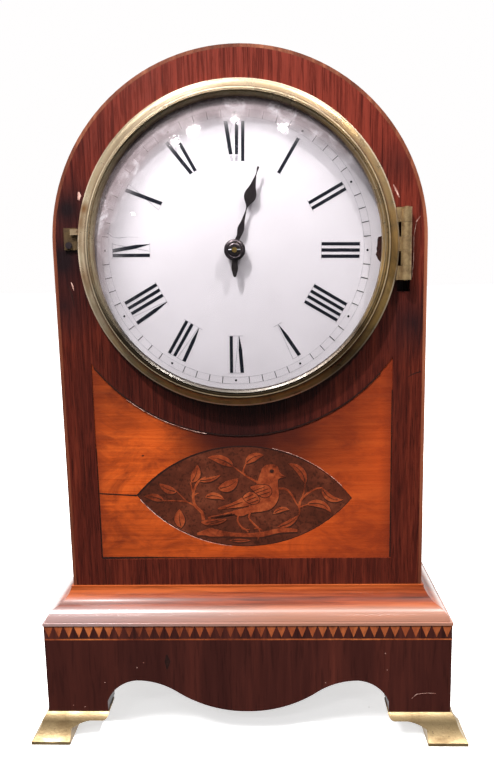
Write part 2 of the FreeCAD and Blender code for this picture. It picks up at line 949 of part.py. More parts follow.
# ---------------------------------------------------------------- rear door
door_half = opening_half - d.door_gap
door_low = opening_low + d.door_gap
door_ys = (base_back - d.door_thickness, base_back)
glass_half = door_half - d.door_stile + 3
sight_half = door_half - d.door_stile
glass_low = door_low + d.door_stile - 3
door_glass_ys = (base_back - 5, base_back - 5 + d.door_glass_thickness)
latch_axis = (-(door_half - d.door_stile / 2), floor + d.latch_height)
door_hinge_x = (opening_half + door_half) / 2
door_hinge_y = base_back + d.door_hinge_radius + 0.2

node("door_frame", cut(
    arch(door_half, door_ys, door_low),
    arch(sight_half, door_ys, door_low + d.door_stile),
    arch(glass_half, (door_ys[0], door_glass_ys[1]), glass_low),
    rod_y(latch_axis, door_ys, size(2) + d.running_fit),
))
node("door_glass", arch(glass_half, door_glass_ys, glass_low))


def door_latch():
    """A turned knob outside, with a tongue inside that turns behind the frame."""
    x, z = latch_axis
    tongue_ys = (frame_ys[0] - 2.3, frame_ys[0] - 0.3)
    spindle = rod_y(latch_axis, (tongue_ys[0], base_back + 3), size(2))
    boss = rod_y(latch_axis, (tongue_ys[0], door_ys[0] - 0.15), size(3.6))
    tongue = box((x - 3, x + 3), tongue_ys, (z, z + d.latch_tongue))
    collar = rod_y(latch_axis, (base_back + 0.15, base_back + 2.2), size(3.4))
    knob = common(
        ball(x, base_back + 3.4, z, d.latch_knob_radius),
        rod_y(latch_axis, (base_back + 0.6, base_back + 6.6), d.latch_knob_radius),
    )
    return fuse(spindle, boss, tongue, collar, knob)


node("door_latch", door_latch())


def barrel_knuckle(x, y, zs, radius, bore):
    return cut(rod_z(x, y, zs, radius), rod_z(x, y, zs, bore))


def door_hinge(low, on_frame):
    """One leaf of a surface hinge: the frame carries the outer knuckles, the door the middle one."""
    third = d.door_hinge_length / 3
    gap = d.knuckle_gap / 2
    pin = size(1)
    clear = d.door_hinge_radius + 0.3
    edge = base_back + d.door_leaf_thickness
    if on_frame:
        spans = [(low, low + third - gap), (low + 2 * third + gap, low + d.door_hinge_length)]
        reach = (door_hinge_x, door_hinge_x + d.door_leaf_width)
        plate = box((door_hinge_x + clear, reach[1]), (base_back, edge), (low, low + d.door_hinge_length))
    else:
        spans = [(low + third + gap, low + 2 * third - gap)]
        reach = (door_hinge_x - d.door_leaf_width, door_hinge_x)
        plate = box((reach[0], door_hinge_x - clear), (base_back, edge), (low, low + d.door_hinge_length))
    bore = pin if on_frame else pin + d.running_fit
    pieces = [plate]
    for span in spans:
        web = box(reach, (base_back, edge), span)
        pieces.append(cut(
            fuse(rod_z(door_hinge_x, door_hinge_y, span, d.door_hinge_radius), web),
            rod_z(door_hinge_x, door_hinge_y, span, bore),
        ))
    return fuse(*pieces)


hinge_lows = [floor + d.door_hinge_low, floor + d.door_hinge_high - d.door_hinge_length / 2]
node("frame_hinge_leaves", group(*[door_hinge(low, True) for low in hinge_lows]))
node("door_hinge_leaves", group(*[door_hinge(low, False) for low in hinge_lows]))
node("door_hinge_pins", group(*[
    rod_z(door_hinge_x, door_hinge_y, (low - 0.4, low + d.door_hinge_length + 0.4), size(1))
    for low in hinge_lows
]))

# ---------------------------------------------------------------- bezel
bezel_axis = (bezel_x, bezel_z)
ring_back = face - d.bezel_gap
front_lip = face - d.bezel_height
rebate = face - d.rebate_depth
sight = sight_radius
rim = bezel_radius

node("bezel_ring", revolved([
    (rim, ring_back),
    (rim, ring_back - 1.9),
    (rim - 1.1, ring_back - 2.8, size(7.5), "left"),
    (sight + 3.4, front_lip + 0.2),
    (sight + 2.1, front_lip),
    (sight + 1.9, front_lip + 1.2),
    (sight + 1.5, front_lip + 1.2),
    (sight + 1.2, front_lip + 0.7),
    (sight + 0.3, front_lip + 1.4),
    (sight, rebate),
    (glass_radius + 0.2, rebate),
    (glass_radius + 0.2, ring_back),
], bezel_axis))

glass_outer = (glass_radius * glass_radius + d.glass_rise * d.glass_rise) / (2 * d.glass_rise)
sag_at_sight = glass_outer - root(glass_outer * glass_outer - sight * sight)
sag_at_rim = d.glass_rise
glass_rim_y = rebate + sag_at_rim - sag_at_sight
node("bezel_glass", dome(bezel_axis, glass_radius, d.glass_rise, glass_rim_y, d.glass_thickness))


def glass_back(radius):
    """Where the back of the glass is at a radius."""
    inner = glass_outer - d.glass_thickness
    return glass_rim_y - d.glass_rise + glass_outer - root(inner * inner - radius * radius)


node("glass_ring", revolved([
    (sight + 0.6, glass_back(sight + 0.6)),
    (glass_radius, glass_back(glass_radius)),
    (glass_radius + 0.2, glass_back(glass_radius)),
    (glass_radius + 0.2, ring_back - 0.2),
    (sight + 0.9, ring_back - 0.2),
], bezel_axis))

hinge_x = hinge_right
hinge_y = face - d.hinge_forward


def bezel_hinge(on_case):
    """One leaf of the five-knuckle hinge; the bezel carries the first, third and fifth knuckles."""
    step = d.hinge_length / 5
    gap = d.knuckle_gap / 2
    places = (1, 3) if on_case else (0, 2, 4)
    bore = d.hinge_pin_radius if on_case else d.hinge_pin_radius + d.running_fit
    pieces = []
    for index in places:
        span = (hinge_z[0] + step * index + gap, hinge_z[0] + step * (index + 1) - gap)
        knuckle = rod_z(hinge_x, hinge_y, span, d.hinge_radius)
        if on_case:
            web = box((hinge_edge - d.hinge_leaf, hinge_edge), (hinge_y, face + 0.5), span)
        else:
            tall = (hinge_y + 0.2, ring_back - 0.3)
            web = cut(box((hinge_x - 6, hinge_x), tall, span), rod_y(bezel_axis, tall, rim))
        pieces.append(cut(fuse(knuckle, web), rod_z(hinge_x, hinge_y, span, bore)))
    if on_case:
        pieces.append(box((hinge_edge - d.hinge_leaf, hinge_edge), (face + 0.5, face + 9), hinge_z))
        return fuse(*pieces)
    return group(*pieces)


node("case_hinge_leaf", bezel_hinge(True))
node("bezel_hinge_leaf", bezel_hinge(False))
node("bezel_hinge_pin", rod_z(hinge_x, hinge_y, (hinge_z[0] - 0.3, hinge_z[1] + 0.3), d.hinge_pin_radius))

catch_zs = (springing + d.catch_top - d.catch_height, springing + d.catch_top)
node("catch_plate", cut(
    box((-catch_left, -catch_left + d.catch_width), (face - d.catch_thickness, face), catch_zs),
    case_screws,
))
tab_ys = (face - d.catch_thickness - 1.5, face - d.catch_thickness - 0.15)
node("bezel_tab", cut(
    box((bezel_x - rim - 3.2, bezel_x - rim + 2), tab_ys, (catch_zs[1] - 3.4, catch_zs[1] - 0.6)),
    rod_y(bezel_axis, tab_ys, rim),
))

# ---------------------------------------------------------------- dial and hands
rim_y = face + d.dial_set_back
apex_y = rim_y - d.dial_rise


def dial_feet():
    """Copper feet soldered to the back of the dial that pass through the front plate."""
    spots = [(-38, -20), (38, -20), (0, 38)]
    return [(axis_x + size(right), axis_z + size(up)) for right, up in spots]


foot_ys = (rim_y - 2, frame_front + 1.1)
node("dial_plate", cut(
    fuse(
        dome(centre_axis, d.dial_radius, d.dial_rise, rim_y, d.dial_thickness),
        *[rod_y(spot, foot_ys, size(1.2)) for spot in dial_feet()],
    ),
    rod_y(centre_axis, (apex_y - 1, rim_y), d.dial_hole_radius),
))

hour_ys = (apex_y - 2.2, apex_y - 2.2 + d.hand_thickness)
minute_ys = (apex_y - 3.8, apex_y - 3.8 + d.hand_thickness)
collet_ys = (minute_ys[0] - 1.3, minute_ys[0])
arbor_end = collet_ys[0] - 0.9
cannon_radius = size(2)
pipe_radius = size(3.1)
pipe_bore = cannon_radius + 0.08


def mirror_half(profile):
    """Both sides of a hand from one side's (distance from the axis, half width) list."""
    right = [Vector(half, 0, distance) for distance, half in profile]
    left = [Vector(-half, 0, distance) for distance, half in reversed(profile)]
    return right + left


def hand(profile, boss, bore, thickness, angle):
    """A flat hand pointing up before it is turned clockwise by its angle."""
    blade = curve_plate(mirror_half(profile), thickness)
    disc = Part.makeCylinder(boss, thickness, Vector(), Vector(0, 1, 0))
    hole = Part.makeCylinder(bore, thickness, Vector(), Vector(0, 1, 0))
    solid = blade.fuse(disc).cut(hole).removeSplitter()
    solid.rotate(Vector(), Vector(0, 1, 0), angle)
    return solid


def hour_hand():
    """A pear hand: a thin stem with a low swelling, a round-shouldered head and a long point."""
    reach = d.hour_hand_length.value
    profile = [
        (3.4, 0.9), (6.5, 1.05), (9.8, 1.6), (13, 1.0), (17.1, 0.42), (20.8, 0.48),
        (22.6, 1.5), (24.6, 2.65), (27.2, 2.7), (30, 1.55), (33.5, 0.7), (reach - 2, 0.32), (reach, 0.12),
    ]
    return hand(profile, 4.6, pipe_radius.value, d.hand_thickness.value, d.hour_hand_angle.value)


def minute_hand():
    """The leaf-shaped stub that is left of the minute hand."""
    reach = d.minute_stub_length.value
    profile = [(2.6, 1.2), (5.5, 1.35), (8.6, 1.5), (reach - 1.2, 0.9), (reach, 0.25)]
    return hand(profile, 4.2, cannon_radius.value, d.hand_thickness.value, d.minute_stub_angle.value)


node("hour_hand", feature(hour_hand(), axis_x, hour_ys[0], axis_z))
node("minute_hand", feature(minute_hand(), axis_x, minute_ys[0], axis_z))
node("hand_collet", revolved([
    (d.arbor_radius, collet_ys[0]),
    (size(2.6), collet_ys[0]),
    (size(3.2), collet_ys[0] + 0.35),
    (size(3.6), collet_ys[0] + 0.15, size(2.2), "right"),
    (d.collet_radius, collet_ys[1] - 0.2),
    (d.collet_radius, collet_ys[1]),
    (d.arbor_radius, collet_ys[1]),
], centre_axis))
pin_y = collet_ys[0] - 0.45


def hand_pin():
    """A taper pin across the end of the centre arbor."""
    item = doc.addObject("Part::Cone", "Pin")
    item.Placement = Placement(Vector(), Rotation(Vector(0, 1, 0), 90))
    bind(item, "Radius1", 0.42)
    bind(item, "Radius2", 0.3)
    bind(item, "Height", 5.6)
    place(item, axis_x - 2.8, pin_y, axis_z)
    return item


pin = node("hand_pin", hand_pin())

# ---------------------------------------------------------------- movement frame
plate_ys = [(front_plate, frame_front), (frame_back, back_plate)]
pillar_x = d.plate_half_width - d.pillar_in
pillar_spots = [
    (axis_x + side * pillar_x, axis_z + height)
    for side in (-1, 1)
    for height in (d.plate_up - 9, d.pillar_in - d.plate_down)
]
pivot_hole = d.pivot_radius + d.running_fit
seat_screw_zs = (seat_top - d.seat_thickness, seat_top + d.pillar_in)


def plate(ys, holes, extras):
    """A movement plate with its top corners cut off, drilled for every arbor and pillar."""
    left = axis_x - d.plate_half_width
    right = axis_x + d.plate_half_width
    top = axis_z + d.plate_up
    low = axis_z - d.plate_down
    slab = padded("XZ_Plane", [
        (left, low),
        (right, low),
        (right, top - 14),
        (right - 10, top),
        (left + 10, top),
        (left, top - 14),
    ], ys[0], ys[1])
    tools = [rod_y(axis, ys, radius) for axis, radius in holes]
    drilled = cut(slab, *tools)
    return fuse(drilled, *extras) if extras else drilled


pillar_holes = [(spot, size(1.5)) for spot in pillar_spots]
train_holes = [(spot, pivot_hole) for spot in (second_axis, third_axis, escape_axis)]
minute_stud = [
    rod_y(minute_axis, (face + 8, front_plate), size(0.8)),
    rod_y(minute_axis, (face + 12.85, front_plate), size(2)),
]
node("plate_front", plate(
    plate_ys[0],
    pillar_holes + train_holes + [
        (centre_axis, d.arbor_radius + d.running_fit),
        (barrel_axis, size(1.5) + d.running_fit),
        (pallet_axis, pivot_hole),
    ] + [(spot, size(1.2)) for spot in dial_feet()],
    minute_stud,
))
click_axis = (barrel_axis[0], barrel_axis[1] + d.click_distance)
spring_screw_axis = (click_axis[0] + 13, click_axis[1] + 5.5)
cock_spots = [(pallet_axis[0] + side * 10, pallet_axis[1] + 8) for side in (-1, 1)]
node("plate_back", plate(
    plate_ys[1],
    pillar_holes + train_holes + [
        (centre_axis, pivot_hole),
        (barrel_axis, d.winding_radius + d.running_fit),
        (pallet_axis, size(0.9) + d.running_fit),
        (click_axis, size(1.2)),
        (spring_screw_axis, size(1)),
    ] + [(spot, size(1.1)) for spot in cock_spots],
    [],
))


def pillar(spot):
    """A turned pillar with a knop in the middle."""
    middle = (frame_front + frame_back) / 2
    radius = d.pillar_radius
    body = revolved([
        (size(1.5), frame_front),
        (radius, frame_front),
        (radius, frame_front + 3),
        (radius * 0.72, frame_front + 5),
        (radius * 0.72, middle - 4, size(5), "left"),
        (radius * 0.72, middle + 4),
        (radius * 0.72, frame_back - 5),
        (radius, frame_back - 3),
        (radius, frame_back),
        (size(1.5), frame_back),
    ], spot)
    return body


def pillar_set():
    """Four pillars, the lower two tapped for the seat screws."""
    middle = (frame_front + frame_back) / 2
    pieces = []
    for spot in pillar_spots:
        turned = pillar(spot)
        pieces.append(cut(turned, rod_z(spot[0], middle, seat_screw_zs, size(1.7))))
    return group(*pieces)


node("pillars", pillar_set())


def movement_fasteners():
    """Through bolts of the pillars, seat screws, cock screws, the click stud and the spring screw."""
    middle = (frame_front + frame_back) / 2
    pieces = []
    for spot in pillar_spots:
        shank = rod_y(spot, (front_plate, back_plate), size(1.5))
        heads = [
            rod_y(spot, (front_plate - 1.2, front_plate), size(2.9)),
            rod_y(spot, (back_plate, back_plate + 1.6), size(2.9)),
        ]
        pieces.append(fuse(shank, *heads))
    for side in (-1, 1):
        x = axis_x + side * pillar_x
        head_zs = (seat_screw_zs[0] - 2, seat_screw_zs[0])
        tapped = (seat_screw_zs[0], pillar_spots[1][1] - 1.5)
        pieces.append(fuse(rod_z(x, middle, tapped, size(1.7)), rod_z(x, middle, head_zs, size(3.6))))
    for spot in cock_spots:
        pieces.append(fuse(
            rod_y(spot, (frame_back, back_plate + 2.5), size(1.1)),
            rod_y(spot, (back_plate + 2.5, back_plate + 3.7), size(2.1)),
        ))
    pieces.append(fuse(
        rod_y(click_axis, (frame_back, back_plate + 2.75), size(1.2)),
        rod_y(click_axis, (back_plate + 2.75, back_plate + 3.9), size(2.1)),
    ))
    pieces.append(fuse(
        rod_y(spring_screw_axis, (frame_back, back_plate + 2.5), size(1)),
        rod_y(spring_screw_axis, (back_plate + 2.5, back_plate + 3.5), size(1.9)),
    ))
    return group(*pieces)


node("movement_fasteners", movement_fasteners())

# ---------------------------------------------------------------- power
great_ys = (frame_front + 1.5, frame_front + 4)
drum_ys = (great_ys[1], great_ys[0] + d.barrel_length)
drum_radius = d.barrel_module * d.barrel_teeth / 2 - 2.4
spring_room = drum_radius - d.barrel_wall


def barrel():
    """The drum with its great wheel at the front and its cover at the back."""
    bore = d.winding_radius + d.running_fit
    disc = wheel(barrel_axis, great_ys, d.barrel_teeth, d.barrel_module, d.barrel_angle.value + 180, bore, False)
    drum = cut(
        rod_y(barrel_axis, drum_ys, drum_radius),
        rod_y(barrel_axis, (drum_ys[0], drum_ys[1] - d.barrel_wall), spring_room),
        rod_y(barrel_axis, drum_ys, bore),
    )
    return fuse(disc, drum)


node("barrel", barrel())

hub_radius = size(4)
square_ys = (back_plate + 3, back_plate + 3 + d.winding_length)
node("barrel_arbor", fuse(
    rod_y(barrel_axis, (front_plate + 0.2, frame_front + d.end_shake), size(1.5)),
    rod_y(barrel_axis, (frame_front + d.end_shake, square_ys[0]), d.winding_radius),
    rod_y(barrel_axis, (drum_ys[0] + 0.3, drum_ys[1] - d.barrel_wall - 0.3), hub_radius),
    box(
        (barrel_axis[0] - d.winding_square / 2, barrel_axis[0] + d.winding_square / 2),
        square_ys,
        (barrel_axis[1] - d.winding_square / 2, barrel_axis[1] + d.winding_square / 2),
    ),
))


def spiral_strip(inner, outer, strip, turns, depth):
    """A flat spring of half-round arcs whose centres alternate, so that the coil opens evenly."""
    halves = 2 * turns
    grow = (outer - inner - strip) / halves
    near = []
    far = []
    for index in range(halves):
        centre = Vector(grow / 2 if index % 2 else -grow / 2, 0, 0)
        radius = inner + grow / 2 + grow * index
        sign = -1 if index % 2 else 1
        for edges, reach in ((near, radius), (far, radius + strip)):
            begin = centre + Vector(sign * reach, 0, 0)
            top = centre + Vector(0, 0, sign * reach)
            end = centre - Vector(sign * reach, 0, 0)
            edges.append((begin, top, end))
    edges = [Part.Arc(*points).toShape() for points in near]
    edges.append(Part.LineSegment(near[-1][2], far[-1][2]).toShape())
    edges += [Part.Arc(points[2], points[1], points[0]).toShape() for points in reversed(far)]
    edges.append(Part.LineSegment(far[0][0], near[0][0]).toShape())
    return Part.Face(Part.Wire(edges)).extrude(Vector(0, depth, 0))


spring_ys = (drum_ys[0] + 1, drum_ys[1] - d.barrel_wall - 1)
node("mainspring", feature(
    spiral_strip(
        hub_radius.value + 3,
        spring_room.value,
        d.spring_strip.value,
        round(d.spring_turns.value),
        spring_ys[1].value - spring_ys[0].value,
    ),
    barrel_axis[0],
    spring_ys[0],
    barrel_axis[1],
))

ratchet_ys = (back_plate + 0.6, back_plate + 2.6)


def ratchet():
    """A wheel of saw teeth, turned so that the click can drop into a gap."""
    tip = d.ratchet_radius.value
    marks = [(tip, 0), (tip - 1.4, 0.07), (tip - 1.4, 0.15), (tip, 0.92)]
    outline = closed(pointed_teeth(round(d.ratchet_teeth.value), marks, 12.1))
    return plate_of(outline, [circle_wire(d.winding_radius.value)], ratchet_ys[1].value - ratchet_ys[0].value)


node("ratchet_wheel", feature(ratchet(), barrel_axis[0], ratchet_ys[0], barrel_axis[1]))


def click():
    """A pawl about its stud; it is drawn lifted clear of the ratchet."""
    ring = [in_plane(2.4, math.radians(turn)) for turn in (100, 145, 190, 235, 280)]
    arm = [(6.3, -3.5), (7.6, -5.7), (8.2, -4.8), (7.9, -2.6), (4.6, 0.6), (1.4, 2.1)]
    return plate_of(closed(ring + [Vector(x, 0, z) for x, z in arm]), [circle_wire(1.25)], 2)


node("click", feature(click(), click_axis[0], ratchet_ys[0], click_axis[1]))


def click_spring():
    """A thin bent strip over the click's arm, on its own screwed foot."""
    foot_hole = Part.Wire(Part.makeCircle(1, Vector(13, 0, 5.5), Vector(0, 1, 0)))
    foot = [(10.6, 3), (15.4, 3), (15.4, 8), (10.6, 8)]
    strip = [
        (12, 7.2), (12, 8), (9, 8), (3.2, 6.2), (4.6, 2.2), (5.1, 2.4), (3.9, 5.9), (9.1, 7.4), (10.6, 7.2),
    ]
    block = plate_of(closed([Vector(x, 0, z) for x, z in foot]), [foot_hole], 2.5)
    blade = plate_of(closed([Vector(x, 0, z) for x, z in strip]), [], 1.6)
    blade.translate(Vector(0, 0.8, 0))
    return block.fuse(blade).removeSplitter()


node("click_spring", feature(click_spring(), click_axis[0], back_plate, click_axis[1]))

# ---------------------------------------------------------------- going train
inside = (frame_front + d.end_shake, frame_back - d.end_shake)
pivots = (front_plate + 0.2, back_plate - 0.2)
second_wheel_ys = (drum_ys[1] + 2, drum_ys[1] + 2 + d.wheel_thickness)
centre_wheel_ys = (second_wheel_ys[1] + 3, second_wheel_ys[1] + 3 + d.wheel_thickness)
third_wheel_ys = (drum_ys[1] - 5, drum_ys[1] - 5 + d.wheel_thickness)
escape_wheel_ys = (third_wheel_ys[0] - 8, third_wheel_ys[0] - 8 + d.wheel_thickness)


def widened(ys, margin):
    return (ys[0] - margin, ys[1] + margin)


def arbor(axis):
    """A plain arbor with a pivot at each end."""
    return [rod_y(axis, inside, d.arbor_radius), rod_y(axis, pivots, d.pivot_radius)]


node("second_wheel", fuse(
    *arbor(second_axis),
    wheel(second_axis, second_wheel_ys, d.second_teeth, d.second_module, d.second_angle.value + 180, d.pivot_radius),
    pinion(
        second_axis,
        widened(great_ys, 0.8),
        d.second_leaves,
        d.barrel_module,
        d.barrel_angle.value,
        d.pivot_radius,
    ),
    rod_y(second_axis, widened(second_wheel_ys, 1), size(3)),
))
node("centre_wheel", cut(
    fuse(
        rod_y(centre_axis, (arbor_end, inside[1]), d.arbor_radius),
        rod_y(centre_axis, (inside[1] - 1, pivots[1]), d.pivot_radius),
        wheel(centre_axis, centre_wheel_ys, d.train_teeth, d.train_module, d.third_angle.value, d.pivot_radius),
        pinion(
            centre_axis,
            widened(second_wheel_ys, 0.8),
            d.centre_leaves,
            d.second_module,
            d.second_angle.value,
            d.pivot_radius,
        ),
        rod_y(centre_axis, widened(centre_wheel_ys, 1), size(3)),
    ),
    pin,
))
node("third_wheel", fuse(
    *arbor(third_axis),
    wheel(third_axis, third_wheel_ys, d.train_teeth, d.train_module, d.escape_angle.value, d.pivot_radius),
    pinion(
        third_axis,
        widened(centre_wheel_ys, 1),
        d.train_leaves,
        d.train_module,
        d.third_angle.value + 180,
        d.pivot_radius,
    ),
    rod_y(third_axis, widened(third_wheel_ys, 1), size(3)),
))


def escape_disc():
    """A crossed-out wheel of thirty slanting teeth."""
    tip = d.escape_radius.value
    bottom = tip - 2.1
    marks = [(tip, 0), (tip, 0.07), (bottom, 0.3), (bottom, 0.86)]
    outline = closed(pointed_teeth(round(d.escape_teeth.value), marks, 0))
    gaps = [spoke_gap(tip * 0.22, bottom - 1.6, 5, 1.3, index) for index in range(5)]
    return plate_of(outline, [circle_wire(d.pivot_radius.value)] + gaps, d.wheel_thickness.value)


node("escape_wheel", fuse(
    *arbor(escape_axis),
    feature(escape_disc(), escape_axis[0], escape_wheel_ys[0], escape_axis[1]),
    pinion(
        escape_axis,
        widened(third_wheel_ys, 1),
        d.train_leaves,
        d.train_module,
        d.escape_angle.value + 180,
        d.pivot_radius,
    ),
    rod_y(escape_axis, widened(escape_wheel_ys, 1), size(2.6)),
))


def anchor():
    """The anchor's flat outline about the pallet arbor, clear of the wheel through its whole swing."""
    half = [(0, 3.4), (3, 3), (13.6, -3.2), (12.9, -8.8), (11.1, -8.2), (10.4, -5.2), (3.2, -2.6), (0, -3)]
    right = [Vector(x, 0, z) for x, z in half]
    left = [Vector(-x, 0, z) for x, z in reversed(half[1:-1])]
    return plate_of(closed(right + left), [circle_wire(d.pivot_radius.value)], 2.6)


def pallets():
    """Anchor, arbor and crutch, which swing together."""
    x, z = pallet_axis
    outer = back_plate + 1
    fork_low = z - 31
    strip = box((x - 1.2, x + 1.2), (outer, outer + 1.4), (fork_low, z))
    fork = cut(
        box((x - 2.9, x + 2.9), (outer, pendulum_y + 2), (fork_low, fork_low + 3)),
        box(
            (x - d.rod_radius - 0.15, x + d.rod_radius + 0.15),
            (pendulum_y - 2.4, pendulum_y + 3),
            (fork_low, fork_low + 3),
        ),
    )
    return fuse(
        rod_y(pallet_axis, (inside[0], outer + 1.4), size(0.9)),
        rod_y(pallet_axis, (front_plate + 0.2, inside[0] + 1), d.pivot_radius),
        feature(anchor(), x, escape_wheel_ys[0] - 0.5, z),
        rod_y(pallet_axis, (outer, outer + 1.4), size(2.4)),
        strip,
        fork,
    )


node("pallets", pallets())

# ---------------------------------------------------------------- pendulum
pendulum_x, pivot_z = pallet_axis
cheeks = [(pendulum_y - 3.2, pendulum_y - 1.7), (pendulum_y + 1.7, pendulum_y + 3.2)]


def suspension_cock():
    """A bracket on the back plate whose two cheeks carry the suspension pin."""
    foot_zs = (pivot_z + 4.5, pivot_z + 11.5)
    pieces = [
        box((pendulum_x - 13, pendulum_x + 13), (back_plate, back_plate + 2.5), foot_zs),
        box((pendulum_x - 4, pendulum_x + 4), (back_plate, cheeks[1][1]), (pivot_z + 4.5, pivot_z + 7.5)),
    ]
    for cheek in cheeks:
        pieces.append(box((pendulum_x - 3, pendulum_x + 3), cheek, (pivot_z - 2.6, pivot_z + 4.5)))
    holes = [rod_y(spot, (back_plate, back_plate + 2.5), size(1.1)) for spot in cock_spots]
    holes.append(rod_y(pallet_axis, (cheeks[0][0], cheeks[1][1]), size(0.8) + d.running_fit))
    return cut(fuse(*pieces), *holes)


node("suspension_cock", suspension_cock())
node("suspension_spring", fuse(
    box((pendulum_x - 2, pendulum_x + 2), (pendulum_y - 1.5, pendulum_y + 1.5), (pivot_z - 2, pivot_z + 2)),
    rod_y(pallet_axis, (cheeks[0][0], cheeks[1][1]), size(0.8)),
    box((pendulum_x - 0.15, pendulum_x + 0.15), (pendulum_y - 1.5, pendulum_y + 1.5), (pivot_z - 15, pivot_z - 1)),
    box((pendulum_x - 1.6, pendulum_x + 1.6), (pendulum_y - 1.6, pendulum_y + 1.6), (pivot_z - 18, pivot_z - 14)),
))
rod_low = bob_z - d.bob_radius - 12
node("pendulum_rod", rod_z(pendulum_x, pendulum_y, (rod_low, pivot_z - 18), d.rod_radius))


def bob():
    """A lens-shaped bob bored for the rod."""
    rise = d.bob_half_thickness
    radius = (d.bob_radius * d.bob_radius + rise * rise) / (2 * rise)
    lens = common(
        ball(pendulum_x, pendulum_y + radius - rise, bob_z, radius),
        ball(pendulum_x, pendulum_y - radius + rise, bob_z, radius),
    )
    flat = box(
        (pendulum_x - 3.4, pendulum_x + 3.4),
        (pendulum_y - 6, pendulum_y + 6),
        (bob_z - d.bob_radius - 1, bob_z - d.bob_radius + 1.5),
    )
    bore = rod_z(
        pendulum_x,
        pendulum_y,
        (bob_z - d.bob_radius - 1, bob_z + d.bob_radius + 1),
        d.rod_radius + d.running_fit,
    )
    return cut(lens, flat, bore)


node("pendulum_bob", bob())
nut_top = bob_z - d.bob_radius + 1.4
node("rating_nut", cut(
    fuse(
        rod_z(pendulum_x, pendulum_y, (nut_top - 3.4, nut_top - 1), size(4.2)),
        rod_z(pendulum_x, pendulum_y, (nut_top - 6, nut_top), size(2.4)),
    ),
    rod_z(pendulum_x, pendulum_y, (nut_top - 6, nut_top), d.rod_radius + d.running_fit),
))

# ---------------------------------------------------------------- motion work
minute_wheel_ys = (face + 11.2, face + 12.7)
hour_wheel_ys = (face + 8.8, face + 10.2)
pinion_ys = (face + 8.4, minute_wheel_ys[0])
DOWN = -90

node("cannon_pinion", fuse(
    pinion(
        centre_axis,
        (minute_wheel_ys[0] - 0.2, minute_wheel_ys[1] + 0.2),
        d.cannon_leaves,
        d.motion_module,
        DOWN,
        d.arbor_radius,
    ),
    cut(
        rod_y(centre_axis, (minute_ys[0], minute_wheel_ys[0]), cannon_radius),
        rod_y(centre_axis, (minute_ys[0], minute_wheel_ys[0]), d.arbor_radius),
    ),
))
stud_bore = size(0.8) + d.running_fit
node("minute_wheel", fuse(
    wheel(minute_axis, minute_wheel_ys, d.minute_teeth, d.motion_module, -DOWN, stud_bore),
    pinion(minute_axis, pinion_ys, d.minute_leaves, d.hour_module, -DOWN, stud_bore),
))
node("hour_wheel", fuse(
    wheel(centre_axis, hour_wheel_ys, d.hour_teeth, d.hour_module, DOWN, pipe_bore),
    cut(
        rod_y(centre_axis, (hour_ys[0], hour_wheel_ys[1]), pipe_radius),
        rod_y(centre_axis, (hour_ys[0], hour_wheel_ys[1]), pipe_bore),
    ),
))

# ---------------------------------------------------------------- check and write
doc.recompute()
for item in doc.Objects:
    if "Invalid" in item.State or "Error" in item.State:
        raise RuntimeError(f"{item.Name} ({item.Label}) failed: {item.State}")
for item in NODES:
    if item.Shape.isNull() or not item.Shape.isValid():
        raise RuntimeError(f"{item.Label} has no valid shape")

os.makedirs("parts", exist_ok=True)
for item in NODES:
    item.Shape.exportStep(f"parts/{item.Label}.step")
    print(f"{item.Label}: {len(item.Shape.Solids)} solids, {item.Shape.Volume:.1f} mm3")
print(len(NODES), "sub-parts")
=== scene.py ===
"""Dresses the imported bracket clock: camera, light, materials, dial, marquetry, banding and wear."""

import math

import bmesh
import bpy
from mathutils import Matrix, Vector


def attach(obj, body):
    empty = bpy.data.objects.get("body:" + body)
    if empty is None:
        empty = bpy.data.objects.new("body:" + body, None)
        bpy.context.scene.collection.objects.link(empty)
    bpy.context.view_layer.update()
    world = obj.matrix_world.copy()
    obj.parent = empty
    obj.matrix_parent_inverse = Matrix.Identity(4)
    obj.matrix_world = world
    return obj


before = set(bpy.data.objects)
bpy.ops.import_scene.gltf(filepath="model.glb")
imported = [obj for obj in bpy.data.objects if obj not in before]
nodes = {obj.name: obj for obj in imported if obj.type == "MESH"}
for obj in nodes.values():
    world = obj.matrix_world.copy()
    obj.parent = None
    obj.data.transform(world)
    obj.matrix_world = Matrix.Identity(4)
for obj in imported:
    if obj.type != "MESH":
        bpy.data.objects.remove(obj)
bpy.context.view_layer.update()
MM = 0.001

# Levels and axes repeated from the model, in millimetres, with angles in degrees.
FACE = -53.5
BEZEL = (-0.5, 248.3)
DIAL = (-1.5, 247.0)
DIAL_RADIUS = 71.2
DIAL_RISE = 4.5
DIAL_RIM_Y = FACE + 0.6
DIAL_TURN = 1.05
PANEL_Y = FACE + 0.4
PANEL_HOLLOW = 92.4
PLAQUE = (0.0, 124.1)
PLAQUE_HALF = 54.5
PLAQUE_RISE = 26.4
PLAQUE_TILT = 1.2
BASE_HALF = 103.0
BASE_FRONT = -66.5
BASE_BACK = 66.5
PLINTH_TOP = 61.0

# The solved camera: its place in millimetres, its angles in degrees, and its lens.
CAMERA_PLACE = (15.66, -396.24, 236.01)
CAMERA_PITCH = 8.947
CAMERA_YAW = -2.164
CAMERA_ROLL = -1.182
CAMERA_LENS = 32.937
SENSOR_WIDTH = 36

# How the world's strength grows with height, and towards the back: start, end, low and high.
LIGHT_ABOVE = (0.25, 0.85, 0.09, 0.45)
LIGHT_BEHIND = (-0.45, 0.3, 0.0, 1.5)
BEHIND_SLOPE = -0.9

